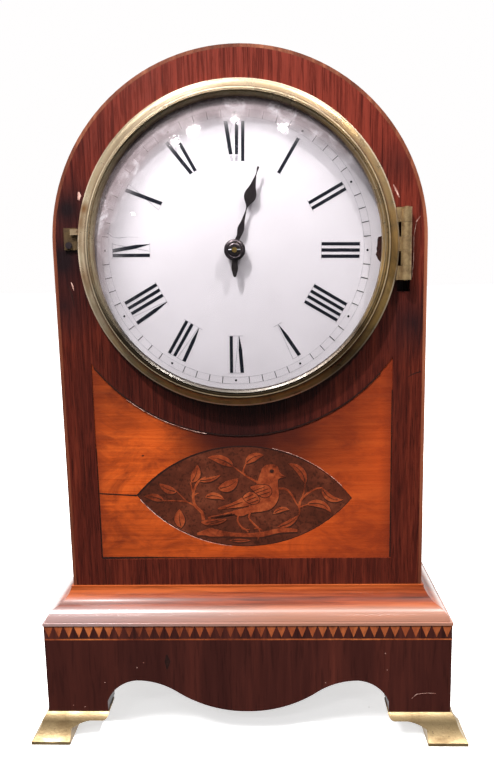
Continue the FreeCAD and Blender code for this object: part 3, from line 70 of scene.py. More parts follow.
# Round lamps in metres and watts: two on the ceiling, then a row that mostly shows in the glass.
LAMPS = [
    # place, radius, power
    ((-0.46, -0.72, 1.56), 0.03, 200),
    ((0.66, -0.64, 1.48), 0.035, 92),
    ((-0.064, -1.277, 1.181), 0.018, 2),
    ((-0.358, -1.279, 1.107), 0.03, 5),
    ((-0.486, -1.282, 1.037), 0.022, 2.5),
    ((0.269, -1.294, 1.117), 0.026, 3.5),
    ((-0.324, -1.453, 0.752), 0.008, 0.2),
    ((-0.242, -1.508, 0.605), 0.007, 0.12),
    ((-0.809, -1.322, 0.552), 0.01, 0.3),
]


# ---------------------------------------------------------------- camera and light
def make_camera():
    """The photograph's viewpoint, from the solved camera."""
    pitch = math.radians(CAMERA_PITCH)
    yaw = math.radians(CAMERA_YAW)
    roll = math.radians(CAMERA_ROLL)
    forward = Vector((math.sin(yaw) * math.cos(pitch), math.cos(yaw) * math.cos(pitch), -math.sin(pitch)))
    level = Vector((math.cos(yaw), -math.sin(yaw), 0))
    above = level.cross(forward)
    right = level * math.cos(roll) + above * math.sin(roll)
    up = above * math.cos(roll) - level * math.sin(roll)
    data = bpy.data.cameras.new("camera")
    data.sensor_width = SENSOR_WIDTH
    data.lens = CAMERA_LENS
    data.clip_start = 0.01
    camera = bpy.data.objects.new("camera", data)
    camera.matrix_world = Matrix((
        (right.x, up.x, -forward.x, CAMERA_PLACE[0] * MM),
        (right.y, up.y, -forward.y, CAMERA_PLACE[1] * MM),
        (right.z, up.z, -forward.z, CAMERA_PLACE[2] * MM),
        (0, 0, 0, 1),
    ))
    bpy.context.scene.collection.objects.link(camera)
    bpy.context.scene.camera = camera


def area_light(name, place, target, size, power):
    """A soft box at a place, turned towards a target."""
    data = bpy.data.lights.new(name, "AREA")
    data.shape = "RECTANGLE"
    data.size, data.size_y = size
    data.energy = power
    light = bpy.data.objects.new(name, data)
    light.location = place
    light.rotation_euler = (Vector(target) - Vector(place)).to_track_quat("-Z", "Y").to_euler()
    bpy.context.scene.collection.objects.link(light)


def lamp(name, place, radius, power):
    """A small round lamp, which throws a crisp shadow or a spot in the bulged glass."""
    data = bpy.data.lights.new(name, "POINT")
    data.energy = power
    data.shadow_soft_size = radius
    light = bpy.data.objects.new(name, data)
    light.location = place
    bpy.context.scene.collection.objects.link(light)


def make_world():
    """White to the camera; as a light, brighter overhead and behind the object, and dim in front."""
    world = bpy.data.worlds.new("studio")
    bpy.context.scene.world = world
    world.use_nodes = True
    tree = world.node_tree
    join = tree.links.new

    def node(kind, operation=None):
        made = tree.nodes.new(kind)
        if operation:
            made.operation = operation
        return made

    split = node("ShaderNodeSeparateXYZ")
    join(node("ShaderNodeTexCoord").outputs["Generated"], split.inputs[0])
    steep = node("ShaderNodeMath", "ABSOLUTE")
    join(split.outputs["Z"], steep.inputs[0])
    behind = node("ShaderNodeMath", "MULTIPLY_ADD")
    join(steep.outputs[0], behind.inputs[0])
    behind.inputs[1].default_value = BEHIND_SLOPE
    join(split.outputs["Y"], behind.inputs[2])
    total = node("ShaderNodeMath", "ADD")
    for source, limits, target in (
        (split.outputs["Z"], LIGHT_ABOVE, total.inputs[0]),
        (behind.outputs[0], LIGHT_BEHIND, total.inputs[1]),
    ):
        level = node("ShaderNodeMapRange")
        level.interpolation_type = "SMOOTHSTEP"
        join(source, level.inputs["Value"])
        for socket, number in zip(("From Min", "From Max", "To Min", "To Max"), limits):
            level.inputs[socket].default_value = number
        join(level.outputs["Result"], target)
    seen = node("ShaderNodeMix")
    join(node("ShaderNodeLightPath").outputs["Is Camera Ray"], seen.inputs[0])
    join(total.outputs[0], seen.inputs[2])
    seen.inputs[3].default_value = 1.0
    background = tree.nodes["Background"]
    join(seen.outputs[0], background.inputs["Strength"])
    background.inputs["Color"].default_value = (1, 0.99, 0.99, 1)


def make_light():
    """Two crisp ceiling lamps, two soft boxes, and the row of spots that the glass reflects."""
    make_world()
    area_light("overhead", place=(0.1, -0.75, 1.55), target=(0, 0, 0.2), size=(1.3, 0.4), power=12)
    area_light("left_box", place=(-0.62, -0.72, 1.2), target=(-0.08, -0.05, 0.08), size=(0.42, 0.2), power=13)
    for index, (place, radius, power) in enumerate(LAMPS):
        lamp(f"lamp_{index}", place, radius, power)
    bpy.context.scene.view_settings.view_transform = "Standard"


# ---------------------------------------------------------------- material helpers
def linear(color):
    """An sRGB colour given in 0 to 255, as a linear RGBA."""
    parts = [part / 255 for part in color]
    return tuple([p / 12.92 if p < 0.04045 else ((p + 0.055) / 1.055) ** 2.4 for p in parts]) + (1,)


class Material:
    """A principled material built from nodes, in the object's own coordinates."""

    def __init__(self, name, **sockets):
        self.data = bpy.data.materials.new(name)
        self.data.use_nodes = True
        self.tree = self.data.node_tree
        self.shader = self.tree.nodes["Principled BSDF"]
        self.object = self.node("ShaderNodeTexCoord").outputs["Object"]
        for socket, value in sockets.items():
            self.shader.inputs[socket.replace("_", " ")].default_value = value

    def node(self, kind, **fields):
        made = self.tree.nodes.new(kind)
        for field, value in fields.items():
            setattr(made, field, value)
        return made

    def join(self, source, target):
        self.tree.links.new(source, target)

    def stretched(self, scale, shift=(0, 0, 0)):
        """Object coordinates, stretched so that one unit is one grain cell."""
        mapping = self.node("ShaderNodeMapping")
        mapping.inputs["Scale"].default_value = scale
        mapping.inputs["Location"].default_value = shift
        self.join(self.object, mapping.inputs["Vector"])
        return mapping.outputs["Vector"]

    def noise(self, vector, detail=4.0, rough=0.55, distortion=0.0):
        """Noise whose cells are one unit of the stretched coordinates."""
        made = self.node("ShaderNodeTexNoise")
        made.inputs["Scale"].default_value = 1.0
        made.inputs["Detail"].default_value = detail
        made.inputs["Roughness"].default_value = rough
        made.inputs["Distortion"].default_value = distortion
        self.join(vector, made.inputs["Vector"])
        return made.outputs["Fac"]

    def ramp(self, value, stops):
        """A colour ramp; a stop is a position and an sRGB colour or a plain grey."""
        made = self.node("ShaderNodeValToRGB")
        elements = made.color_ramp.elements
        while len(elements) < len(stops):
            elements.new(0.5)
        for element, (position, color) in zip(elements, stops):
            element.position = position
            element.color = linear(color) if isinstance(color, tuple) else (color, color, color, 1)
        self.join(value, made.inputs["Fac"])
        return made.outputs["Color"]

    def mix(self, factor, first, second):
        """One colour over another by a factor; each is a node's output or a plain value."""
        made = self.node("ShaderNodeMix", data_type="RGBA")
        for socket, value in ((made.inputs[0], factor), (made.inputs[6], first), (made.inputs[7], second)):
            if isinstance(value, bpy.types.NodeSocket):
                self.join(value, socket)
            elif isinstance(value, tuple):
                socket.default_value = linear(value)
            else:
                socket.default_value = value
        return made.outputs[2]

    def math(self, operation, first, second=0.0, third=0.0):
        made = self.node("ShaderNodeMath", operation=operation)
        for socket, value in zip(made.inputs, (first, second, third)):
            if isinstance(value, bpy.types.NodeSocket):
                self.join(value, socket)
            else:
                socket.default_value = value
        return made.outputs[0]

    def part(self, letter):
        """One coordinate of the object, in millimetres."""
        split = self.node("ShaderNodeSeparateXYZ")
        self.join(self.object, split.inputs[0])
        return self.math("MULTIPLY", split.outputs[letter], 1000.0)

    def fade(self, value, start, end, low=0.0, high=1.0):
        """From low at the start to high at the end, and level beyond them."""
        made = self.node("ShaderNodeMapRange")
        for socket, number in zip(("From Min", "From Max", "To Min", "To Max"), (start, end, low, high)):
            made.inputs[socket].default_value = number
        self.join(value, made.inputs["Value"])
        return made.outputs["Result"]

    def around(self, place):
        """Millimetres across, up and straight out from a place on the front."""
        across = self.math("SUBTRACT", self.part("X"), place[0])
        up = self.math("SUBTRACT", self.part("Z"), place[1])
        squares = self.math("ADD", self.math("MULTIPLY", across, across), self.math("MULTIPLY", up, up))
        return across, up, self.math("SQRT", squares)

    def spot(self, place, radius):
        """1 at a place on the front, falling to 0 at a radius, in millimetres."""
        return self.fade(self.around(place)[2], radius, 0.0)

    def color(self, socket):
        self.join(socket, self.shader.inputs["Base Color"])

    def rough(self, value, low, high):
        """Roughness from low to high over a noise's middle range."""
        self.join(self.fade(value, 0.3, 0.7, low, high), self.shader.inputs["Roughness"])

    def bump(self, value, strength, distance=0.0002):
        made = self.node("ShaderNodeBump")
        made.inputs["Strength"].default_value = strength
        made.inputs["Distance"].default_value = distance
        self.join(value, made.inputs["Height"])
        self.join(made.outputs["Normal"], self.shader.inputs["Normal"])

    def on(self, *names):
        """Give the material to CAD nodes."""
        for name in names:
            mesh = nodes[name].data
            mesh.materials.clear()
            mesh.materials.append(self.data)


# Grain cells per metre along X, Y and Z.
GRAIN_UP = (420, 420, 16)
GRAIN_ACROSS = (16, 420, 420)
GRAIN_DEEP = (420, 16, 420)
GRAIN_FACE = (760, 760, 34)
GRAIN_PLINTH = (300, 300, 20)
GRAIN_TOOTH = (190, 190, 60)
GRAIN_MARQUETRY = (300, 300, 300)
MAHOGANY = ((56, 18, 13), (88, 30, 20), (124, 48, 29))


def wood(
    name, grain, dark, middle, light, gloss=0.22, coat=0.25, figure=0.5, pores=0.5, spread=0.16, level=0.3,
):
    """Polished wood: fine grain, broad ribbon figure and short dark pores."""
    ribbon = tuple(part * 0.12 for part in grain)
    short = tuple(part * 2.6 for part in grain)
    pore_color = tuple(part * 0.45 for part in dark)
    made = Material(
        name, Coat_Weight=coat, Coat_Roughness=max(0.12, gloss - 0.06), IOR=1.4, Specular_IOR_Level=level)
    fine = made.noise(made.stretched(grain), detail=6.0, rough=0.65, distortion=0.4)
    broad = made.noise(made.stretched(ribbon), detail=3.0, rough=0.5, distortion=1.2)
    tone = made.math("ADD", made.math("MULTIPLY", fine, 1 - figure), made.math("MULTIPLY", broad, figure))
    color = made.ramp(tone, [(0.5 - spread, dark), (0.5, middle), (0.5 + spread, light)])
    pore = made.noise(made.stretched(short, shift=(3, 7, 1)), detail=2.0, rough=0.5)
    made.finish = made.mix(made.fade(pore, 0.36, 0.44, pores, 0.0), color, pore_color)
    made.fine = fine
    made.color(made.finish)
    made.rough(fine, gloss, gloss + 0.16)
    made.bump(fine, 0.1)
    return made


def brass(name, clean, dull, stain, rough=0.28, amount=0.45, scale=60, bump=0.15, metal=1.0):
    """Old brass: clean metal, a dull skin in patches, and small dark stains."""
    made = Material(name, Metallic=metal)
    made.patch = made.noise(made.stretched((scale,) * 3), detail=5.0, rough=0.6, distortion=0.3)
    speck = made.noise(made.stretched((scale * 9,) * 3), detail=3.0, rough=0.6)
    color = made.mix(made.fade(made.patch, 0.62 - amount * 0.4, 0.72), clean, dull)
    made.finish = made.mix(made.fade(speck, 0.64, 0.74, 0.0, 0.75), color, stain)
    made.color(made.finish)
    made.rough(made.patch, rough, rough + 0.2)
    made.bump(speck, bump, 0.0003)
    return made


def steel(name, clean, dull):
    """Polished steel with a dull skin in patches."""
    made = Material(name, Metallic=1.0)
    patch = made.noise(made.stretched((150,) * 3), detail=4.0, rough=0.6)
    made.color(made.mix(made.fade(patch, 0.4, 0.65), clean, dull))
    made.rough(patch, 0.32, 0.52)
    made.bump(patch, 0.1)
    return made


def speckled(name, scale, stops, rough=0.6):
    """A dull surface between two colours, for ink, cracks, chips and scuffs."""
    made = Material(name, Roughness=rough, Specular_IOR_Level=0.1)
    made.color(made.ramp(made.noise(made.stretched((scale,) * 3), detail=5.0, rough=0.7), stops))
    return made


def toned(made, places, color):
    """The finish changed around some places of the front: (x, z, radius, share)."""
    for x, z, radius, share in places:
        made.finish = made.mix(made.math("MULTIPLY", made.spot((x, z), radius), share), made.finish, color)
    made.color(made.finish)
    return made


def front_veneer():
    """Straight-grained mahogany, red on the arch, and nearly black under the bezel with painted shade."""
    made = wood(
        "front_veneer", GRAIN_FACE, (40, 12, 9), (66, 22, 14), (94, 36, 22),
        gloss=0.2, coat=0.3, figure=0.3, pores=0.55, spread=0.2)
    arch = made.fade(made.part("Z"), 200, 300)
    red = made.mix(made.fade(made.fine, 0.3, 0.62), (48, 15, 12), (104, 38, 27))
    made.finish = made.mix(arch, made.finish, red)
    # Painted shade under the bezel and beside its lower sides, and darker low on the front.
    painted_shade_under_bezel = [(0, 152, 66, 0.95), (0, 66, 50, 0.35), (-62, 180, 30, 0.4), (62, 180, 30, 0.4)]
    beside_bezel = [
        (-80, 302, 30, 0.5), (-86, 244, 24, 1.2), (-86, 222, 20, 0.9), (-82, 268, 22, 1.1),
        (84, 211, 22, 0.9), (76, 285, 14, 0.5),
    ]
    toned(made, painted_shade_under_bezel, (26, 10, 10))
    toned(made, beside_bezel, (22, 12, 14))
    made.on("front_board")


def satinwood():
    """Mottled satinwood, orange at the left, browner at the right, dark along its edges, with dark stains at
    the left and painted shadow above the plaque.
    """
    made = wood(
        "satinwood", GRAIN_ACROSS, (120, 47, 15), (160, 65, 21), (196, 90, 31),
        gloss=0.2, coat=0.3, figure=0.3, pores=0.15, spread=0.3)
    edge_tone = (78, 26, 16)
    across = made.part("X")
    mottle = made.noise(made.stretched((44, 44, 70)), detail=6.0, rough=0.72, distortion=0.8)
    tone = made.mix(made.fade(mottle, 0.44, 0.66, 0.0, 0.85), made.finish, (96, 34, 14))
    tone = made.mix(made.fade(across, -30, 80, 0.0, 0.5), tone, (128, 42, 18))
    tone = made.mix(made.fade(made.math("ABSOLUTE", across), 68, 74.6, 0.0, 0.6), tone, edge_tone)
    made.finish = made.mix(made.fade(made.part("Z"), 96, 91, 0.0, 0.4), tone, edge_tone)
    # Dark stains in the figure at the left, then painted shadow above the plaque, under the front board's
    # hollow.
    stains_and_painted_shadow = [
        (-50, 186, 34, 0.55), (-66, 178, 26, 0.5), (-60, 100, 30, 0.25),
        (0, 160, 40, 1.5), (-18, 156, 26, 0.8), (26, 156, 44, 0.9),
    ]
    brown = [(64, 182, 34, 0.6), (44, 168, 26, 0.5), (70, 100, 36, 0.3)]
    toned(made, stains_and_painted_shadow, (50, 18, 13))
    toned(made, brown, (70, 24, 14))
    made.on("satinwood_panel")


# Painted highlight rings on the bezel's lip and beads, and painted shade in its grooves: radius, half width,
# share and colour.
BEZEL_HIGHLIGHTS_AND_GROOVE_SHADE = [
    (76.4, 0.5, 0.75, (226, 208, 180)),
    (72.3, 0.35, 0.7, (58, 42, 26)),
    (71.5, 0.3, 0.7, (226, 208, 180)),
    (70.7, 0.35, 0.8, (44, 32, 22)),
    (69.6, 0.5, 0.5, (220, 202, 172)),
]


def bezel_brass():
    """The bezel: pale where it is handled, gold-brown at the right, darker in its lower channel, with painted
    shade towards the bottom and lower right, painted highlight rings and painted shade in its grooves.
    """
    made = brass(
        "bezel_brass", (186, 168, 140), (146, 124, 94), (72, 52, 33),
        rough=0.22, amount=0.5, scale=90, bump=0.3, metal=0.7)
    across, up, radius = made.around(BEZEL)
    patches = made.fade(made.patch, 0.4, 0.6)
    right = made.fade(across, -10, 60, 0.0, 0.7)
    tone = made.mix(right, made.finish, made.mix(patches, (122, 92, 50), (160, 126, 74)))
    # Painted shade: darker olive brass towards the bottom, leaning to the right, which also lowers the
    # metallic there.
    painted_shade_below = made.fade(made.math("SUBTRACT", up, made.math("MULTIPLY", across, 0.4)), -5, -50, 0.0, 0.85)
    tone = made.mix(painted_shade_below, tone, made.mix(patches, (116, 92, 52), (180, 144, 82)))
    for middle, half, share, color in BEZEL_HIGHLIGHTS_AND_GROOVE_SHADE:
        away = made.math("ABSOLUTE", made.math("SUBTRACT", radius, middle))
        tone = made.mix(made.fade(away, half, half * 0.4, 0.0, share), tone, color)
    channel = made.math("MULTIPLY", made.fade(radius, 71.8, 70.9), made.fade(up, 0, -40, 0.0, 0.97))
    made.finish = made.mix(channel, tone, (26, 19, 12))
    toned(made, [(-54, 303, 34, 1.1)], (138, 122, 98))
    # Painted shade at the right and lower right of the bezel.
    toned(made, [(56, 194, 32, 0.7), (78, 246, 34, 0.35)], (70, 52, 30))
    handled = [(-77, 262, 7, 0.9), (-75, 236, 8, 0.7), (-73, 268, 4, 1.0), (-77, 252, 6, 0.5)]
    toned(made, handled, (122, 80, 40))
    made.join(made.fade(painted_shade_below, 0.0, 0.85, 0.7, 0.45), made.shader.inputs["Metallic"])
    made.on("bezel_ring", "bezel_tab")


def clock_glass():
    """Clear glass that mirrors its edge, with dust and a painted reflection of the ceiling as a grey haze
    towards the top of its rim.
    """
    made = Material("clock_glass", Roughness=0.03)
    weight = made.node("ShaderNodeLayerWeight")
    weight.inputs["Blend"].default_value = 0.18
    across, up, radius = made.around(BEZEL)
    rim = made.fade(radius, 48, 69.5)
    upper = made.fade(made.math("SUBTRACT", up, made.math("MULTIPLY", across, 0.5)), -14, 60)
    haze_noise = made.noise(made.stretched((95,) * 3), detail=7.0, rough=0.75, distortion=0.8)
    veil = made.math("MULTIPLY", made.math("POWER", rim, 1.6), upper)
    # Dust and a painted reflection of the ceiling: a matte grey haze over the upper rim.
    dust_and_painted_reflection = made.math("MULTIPLY", veil, made.fade(haze_noise, 0.3, 0.7, 0.38, 0.72))
    made.join(made.fade(dust_and_painted_reflection, 0.0, 0.2, 1.0, 0.0), made.shader.inputs["Metallic"])
    made.join(made.fade(dust_and_painted_reflection, 0.0, 0.5, 0.03, 0.2), made.shader.inputs["Roughness"])
    mirror = made.math("ADD", made.math("MULTIPLY", weight.outputs["Fresnel"], 0.5), 0.03)
    made.join(made.math("ADD", mirror, dust_and_painted_reflection), made.shader.inputs["Alpha"])
    dust_and_reflection_tone = made.ramp(haze_noise, [(0.36, (152, 136, 138)), (0.54, (174, 159, 162)), (0.68, (220, 213, 218))])
    made.color(made.mix(made.fade(dust_and_painted_reflection, 0.0, 0.2), (224, 222, 228), dust_and_reflection_tone))
    made.on("bezel_glass", "door_glass")


def base_moulding():
    """The moulding: a bare orange cove over a worn and shiny convex edge, whose pale colour is faded polish
    and painted sheen, whiter at the left.
    """
    made = wood(
        "moulding_mahogany", GRAIN_ACROSS, (50, 18, 9), (100, 40, 17), (136, 64, 29),
        gloss=0.24, coat=0.6, pores=0.25, spread=0.13, level=0.12)
    convex = made.fade(made.part("Z"), 69.4, 67.8)
    made.join(made.math("MULTIPLY_ADD", convex, 0.85, 0.05), made.shader.inputs["Coat Weight"])
    # Faded polish and a painted sheen on the convex edge, whiter at the left.
    faded_polish_and_sheen = made.mix(made.fade(made.part("X"), -80, 20), (142, 122, 120), (136, 104, 90))
    made.color(made.mix(made.math("MULTIPLY", convex, 0.66), made.finish, faded_polish_and_sheen))
    made.on("base_moulding")


def case_woods():
    """Mahogany on the case and plinth, deal inside, and the grounds of the inlays."""
    wood("case_mahogany", GRAIN_UP, *MAHOGANY, gloss=0.24, coat=0.3, figure=0.4).on(
        "case_sides", "back_frame", "door_frame")
    wood("arch_mahogany", GRAIN_DEEP, *MAHOGANY, coat=0.3, figure=0.4).on("arch_top")
    plinth = wood(
        "plinth_mahogany", GRAIN_PLINTH, (34, 14, 13), (52, 23, 19), (76, 34, 26),
        gloss=0.3, coat=0.08, figure=0.6, pores=0.3, spread=0.26, level=0.15)
    # Painted shade: the plinth darker towards the left.
    toned(plinth, [(-98, 36, 100, 0.5)], (26, 12, 12)).on("plinth_front", "plinth_sides", "plinth_back")
    wood("deal", GRAIN_ACROSS, (92, 60, 38), (134, 94, 62), (160, 118, 82), gloss=0.5, coat=0.0).on(
        "base_board", "glue_blocks", "seatboard")
    wood("boxwood", GRAIN_UP, (64, 29, 19), (98, 50, 33), (132, 78, 54), gloss=0.3, coat=0.3, pores=0.2).on(
        "edge_stringing")
    wood(
        "plaque_ground", GRAIN_MARQUETRY, (50, 23, 15), (68, 31, 20), (92, 46, 30),
        gloss=0.36, coat=0.1, figure=0.6, level=0.12).on("inlay_plaque")
    wood("band_ground", GRAIN_UP, (34, 14, 13), (52, 22, 18), (72, 32, 24), gloss=0.3, coat=0.2).on("banding")


def metals():
    """Brass fittings and movement, blued steel hands, bright steel, and the glass ring, dark with putty and
    painted shade.
    """
    brass(
        "foot_brass", (156, 134, 98), (112, 90, 60), (66, 48, 32),
        rough=0.36, amount=0.5, scale=90, bump=0.45, metal=0.72).on("front_feet", "back_feet")
    brass(
        "hinge_brass", (172, 146, 106), (104, 80, 54), (44, 31, 22),
        amount=0.75, scale=320, bump=0.3, metal=0.7).on(
        "bezel_hinge_leaf", "case_hinge_leaf", "bezel_hinge_pin", "door_hinge_leaves", "frame_hinge_leaves",
        "door_hinge_pins", "door_latch")
    brass(
        "catch_brass", (120, 98, 68), (60, 46, 33), (28, 21, 17),
        rough=0.3, amount=0.8, scale=200, metal=0.75).on("catch_plate")
    # The glass ring: dark putty, with painted shade inside the bezel.
    brass(
        "putty_and_shade_ring", (44, 36, 30), (30, 25, 21), (18, 15, 13),
        rough=0.6, amount=0.8, scale=160, metal=0.0).on("glass_ring")
    brass(
        "train_brass", (222, 186, 104), (190, 150, 76), (130, 96, 48),
        rough=0.24, amount=0.25, bump=0.05).on(
        "plate_front", "plate_back", "pillars", "barrel", "second_wheel", "centre_wheel", "third_wheel",
        "escape_wheel", "suspension_cock", "pendulum_bob", "rating_nut", "minute_wheel", "hour_wheel")
    steel("dark_steel", (84, 76, 78), (54, 47, 50)).on(
        "hour_hand", "minute_hand", "hand_collet", "case_screws")
    steel("bright_steel", (168, 168, 170), (120, 118, 118)).on(
        "hand_pin", "movement_fasteners", "barrel_arbor", "mainspring", "ratchet_wheel", "click",
        "click_spring", "pallets", "suspension_spring", "pendulum_rod", "cannon_pinion")


def enamel():
    """White enamel, faintly clouded, under a hard gloss."""
    made = Material("enamel", Roughness=0.16, Coat_Weight=0.4, Coat_Roughness=0.05)
    cloud = made.noise(made.stretched((28,) * 3), detail=4.0, rough=0.6)
    made.color(made.ramp(cloud, [(0.35, (232, 225, 230)), (0.65, (240, 233, 238))]))
    made.bump(cloud, 0.03)
    made.on("dial_plate")


def added_materials():
    """The materials that the added pieces share, by name."""
    made = {
        "ink": speckled("dial_ink", 500, [(0.6, (26, 28, 36)), (0.72, (88, 90, 98))], 0.3),
        "faint": speckled("faint_ink", 260, [(0.38, (132, 128, 136)), (0.62, (206, 200, 206))], 0.3),
        "engraved": speckled("engraved_line", 900, [(0.3, (30, 15, 12)), (0.7, (56, 29, 20))]),
        "crack": speckled("crack_shadow", 700, [(0.3, (16, 8, 7)), (0.7, (38, 18, 14))], 0.8),
        "chip": speckled("chipped_enamel", 600, [(0.35, (40, 22, 22)), (0.65, (78, 46, 42))]),
        # Scuffed polish, which also serves for painted highlights.
        "scuff_and_highlight": speckled("scuffed_polish_and_highlight", 400, [(0.35, (104, 56, 46)), (0.68, (200, 166, 154))], 0.5),
        "inlay": wood(
            "inlay_wood", GRAIN_MARQUETRY, (60, 23, 13), (110, 46, 24), (138, 66, 35),
            gloss=0.34, coat=0.1, pores=0.1, spread=0.13, level=0.15),
        "tooth": wood(
            "tooth_wood", GRAIN_TOOTH, (70, 30, 20), (120, 58, 32), (158, 88, 48),
            gloss=0.3, coat=0.2, figure=0.6, pores=0.3),
    }
    return {name: material.data for name, material in made.items()}


def make_materials():
    """A material for every CAD node; returns those of the added pieces."""
    front_veneer()
    satinwood()
    bezel_brass()
    clock_glass()
    base_moulding()
    case_woods()
    metals()
    enamel()
    return added_materials()


# ---------------------------------------------------------------- flat pieces laid on the surfaces
def dial_front(x, z):
    """The front of the domed dial under a point, in millimetres."""
    sphere = (DIAL_RADIUS ** 2 + DIAL_RISE ** 2) / (2 * DIAL_RISE)
    square = (x - DIAL[0]) ** 2 + (z - DIAL[1]) ** 2
    return DIAL_RIM_Y - DIAL_RISE + sphere - math.sqrt(sphere ** 2 - square)


def panel_surface(x, z):
    """The front of the satinwood panel and its plaque."""
    return PANEL_Y


def front_surface(x, z):
    """The front of the case."""
    return FACE


def plinth_surface(x, z):
    """The front of the plinth."""
    return BASE_FRONT


def place_piece(name, mesh, material):
    """Put a finished mesh in the scene, riding on the case."""
    bmesh.ops.recalc_face_normals(mesh, faces=mesh.faces)
    data = bpy.data.meshes.new(name)
    mesh.to_mesh(data)
    mesh.free()
    data.materials.append(material)
    made = bpy.data.objects.new(name, data)
    bpy.context.scene.collection.objects.link(made)
    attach(made, "case")


# How far each strip or plate of a piece lies above the one before, so that no two are flush.
LAYER = 0.0008


class Inlay:
    """Thin closed strips and plates that lie on a front-facing surface."""

    def __init__(self, name, surface, lift, material, slot, depth=0.05):
        self.mesh = bmesh.new()
        self.name = name
        self.surface = surface
        self.lift = lift
        self.depth = depth
        self.material = material
        self.slot = slot
        self.step = 0.0

    def pair(self, x, z):
        """A front and a back vertex at a place."""
        front = self.surface(x, z) - self.lift - self.step
        return (
            self.mesh.verts.new((x * MM, front * MM, z * MM)),
            self.mesh.verts.new((x * MM, (front + self.depth) * MM, z * MM)),
        )

    def strip(self, left, right):
        """A closed strip between two matching rows of points, a hair above the last one."""
        self.step += LAYER
        near = [(self.pair(*a), self.pair(*b)) for a, b in zip(left, right)]
        new = self.mesh.faces.new
        for (a, b), (c, d) in zip(near, near[1:]):
            new((a[0], c[0], d[0], b[0]))
            new((a[1], b[1], d[1], c[1]))
            new((a[0], a[1], c[1], c[0]))
            new((b[0], d[0], d[1], b[1]))
        for a, b in (near[0], near[-1]):
            new((a[0], b[0], b[1], a[1]))

    def plate(self, outline):
        """A closed plate inside an outline, a hair above the last piece."""
        self.step += LAYER
        pairs = [self.pair(*point) for point in outline]
        new = self.mesh.faces.new
        new([pair[0] for pair in pairs])
        new([pair[1] for pair in reversed(pairs)])
        for a, b in zip(pairs, pairs[1:] + pairs[:1]):
            new((a[0], a[1], b[1], b[0]))

    def line(self, points, widths):
        """A strip along a path with a width at each point."""
        left = []
        right = []
        for index, (x, z) in enumerate(points):
            before = points[max(index - 1, 0)]
            after = points[min(index + 1, len(points) - 1)]
            away = Vector((after[0] - before[0], after[1] - before[1]))
            away.normalize()
            half = widths[index] / 2 if isinstance(widths, list) else widths / 2
            left.append((x - away.y * half, z + away.x * half))
            right.append((x + away.y * half, z - away.x * half))
        self.strip(left, right)

    def make(self):
        """Close the mesh and put the piece in the scene."""
        bmesh.ops.triangulate(self.mesh, faces=[face for face in self.mesh.faces if len(face.verts) > 4])
        place_piece(self.name, self.mesh, self.material)


def smooth(points, steps=6, closed=False):
    """A Catmull-Rom curve through the points."""
    count = len(points)
    made = []
    last = count if closed else count - 1
    for index in range(last):
        near = [index + offset for offset in (-1, 0, 1, 2)]
        around = [points[at % count] if closed else points[min(max(at, 0), count - 1)] for at in near]
        for step in range(steps):
            t = step / steps
            weights = (
                -0.5 * t + t * t - 0.5 * t ** 3,
                1 - 2.5 * t * t + 1.5 * t ** 3,
                0.5 * t + 2 * t * t - 1.5 * t ** 3,
                -0.5 * t * t + 0.5 * t ** 3,
            )
            made.append(tuple(sum(w * p[axis] for w, p in zip(weights, around)) for axis in (0, 1)))
    if not closed:
        made.append(points[-1])
    return made


def circle(x, z, half_width, half_height, sides):
    """Points round a circle or an ellipse."""
    turns = [math.tau * side / sides for side in range(sides)]
    return [(x + half_width * math.cos(turn), z + half_height * math.sin(turn)) for turn in turns]


# ---------------------------------------------------------------- dial
NUMERALS = ["XII", "I", "II", "III", "IIII", "V", "VI", "VII", "VIII", "IX", "X", "XI"]
ADVANCE = {"I": 2.9, "V": 4.3, "X": 4.5}
INNER, OUTER = 41.0, 59.2
THICK_I, THICK, HAIR = 1.55, 1.75, 0.22
SERIF = 0.1
# The first two thick strokes of the twelve are faint below one radius and inked above the other.
WORN_BELOW, INK_ABOVE = 43.6, 44
DOT_PLACE, DOT_RADIUS = 63, 0.56
TRACK = (61.4, 64.8)
TRACK_LINE = 0.13
MINUTE_LINE = 0.32
CHIP = [
    # clock angle, radius
    (84.6, 70.2), (84.9, 68.2), (86.0, 67.8), (87.6, 67.9), (89.2, 67.3), (90.6, 67.5), (91.7, 67.0),
    (92.8, 67.7), (93.6, 68.2), (94.4, 69.2), (94.9, 70.2),
]


def numeral_strokes(word):
    """Thick strokes and hairlines of a numeral as (foot, head, width), across the numeral's middle."""
    width = sum(ADVANCE[letter] for letter in word)
    at = -width / 2
    thick = []
    hair = []
    for letter in word:
        middle = at + ADVANCE[letter] / 2
        if letter == "I":
            thick.append((middle, middle, THICK_I))
        if letter == "V":
            thick.append((middle - 0.3, middle - 1.7, THICK))
            hair.append((middle + 0.1, middle + 1.9, HAIR))
        if letter == "X":
            thick.append((middle + 1.5, middle - 1.5, THICK))
            hair.append((middle - 1.8, middle + 1.7, HAIR))
        at += ADVANCE[letter]
    return thick, hair, width


def on_dial(angle, across, radius):
    """A point at a clock angle, with an offset across the radius."""
    turn = math.radians(angle + DIAL_TURN)
    return (
        DIAL[0] + math.sin(turn) * radius + math.cos(turn) * across,
        DIAL[1] + math.cos(turn) * radius - math.sin(turn) * across,
    )


def dial_stroke(piece, angle, foot, head, width, low=INNER, high=OUTER, steps=8, taper=0):
    """A radial stroke from low to high; with a taper it narrows to a point at its foot."""
    rows = []
    for side in (-0.5, 0.5):
        rows.append([
            on_dial(
                angle,
                foot + (head - foot) * step / steps + side * width * min(1, (step + 0.3) / (taper + 0.3)),
                low + (high - low) * step / steps,
            )
            for step in range(steps + 1)
        ])
    piece.strip(rows[0], rows[1])


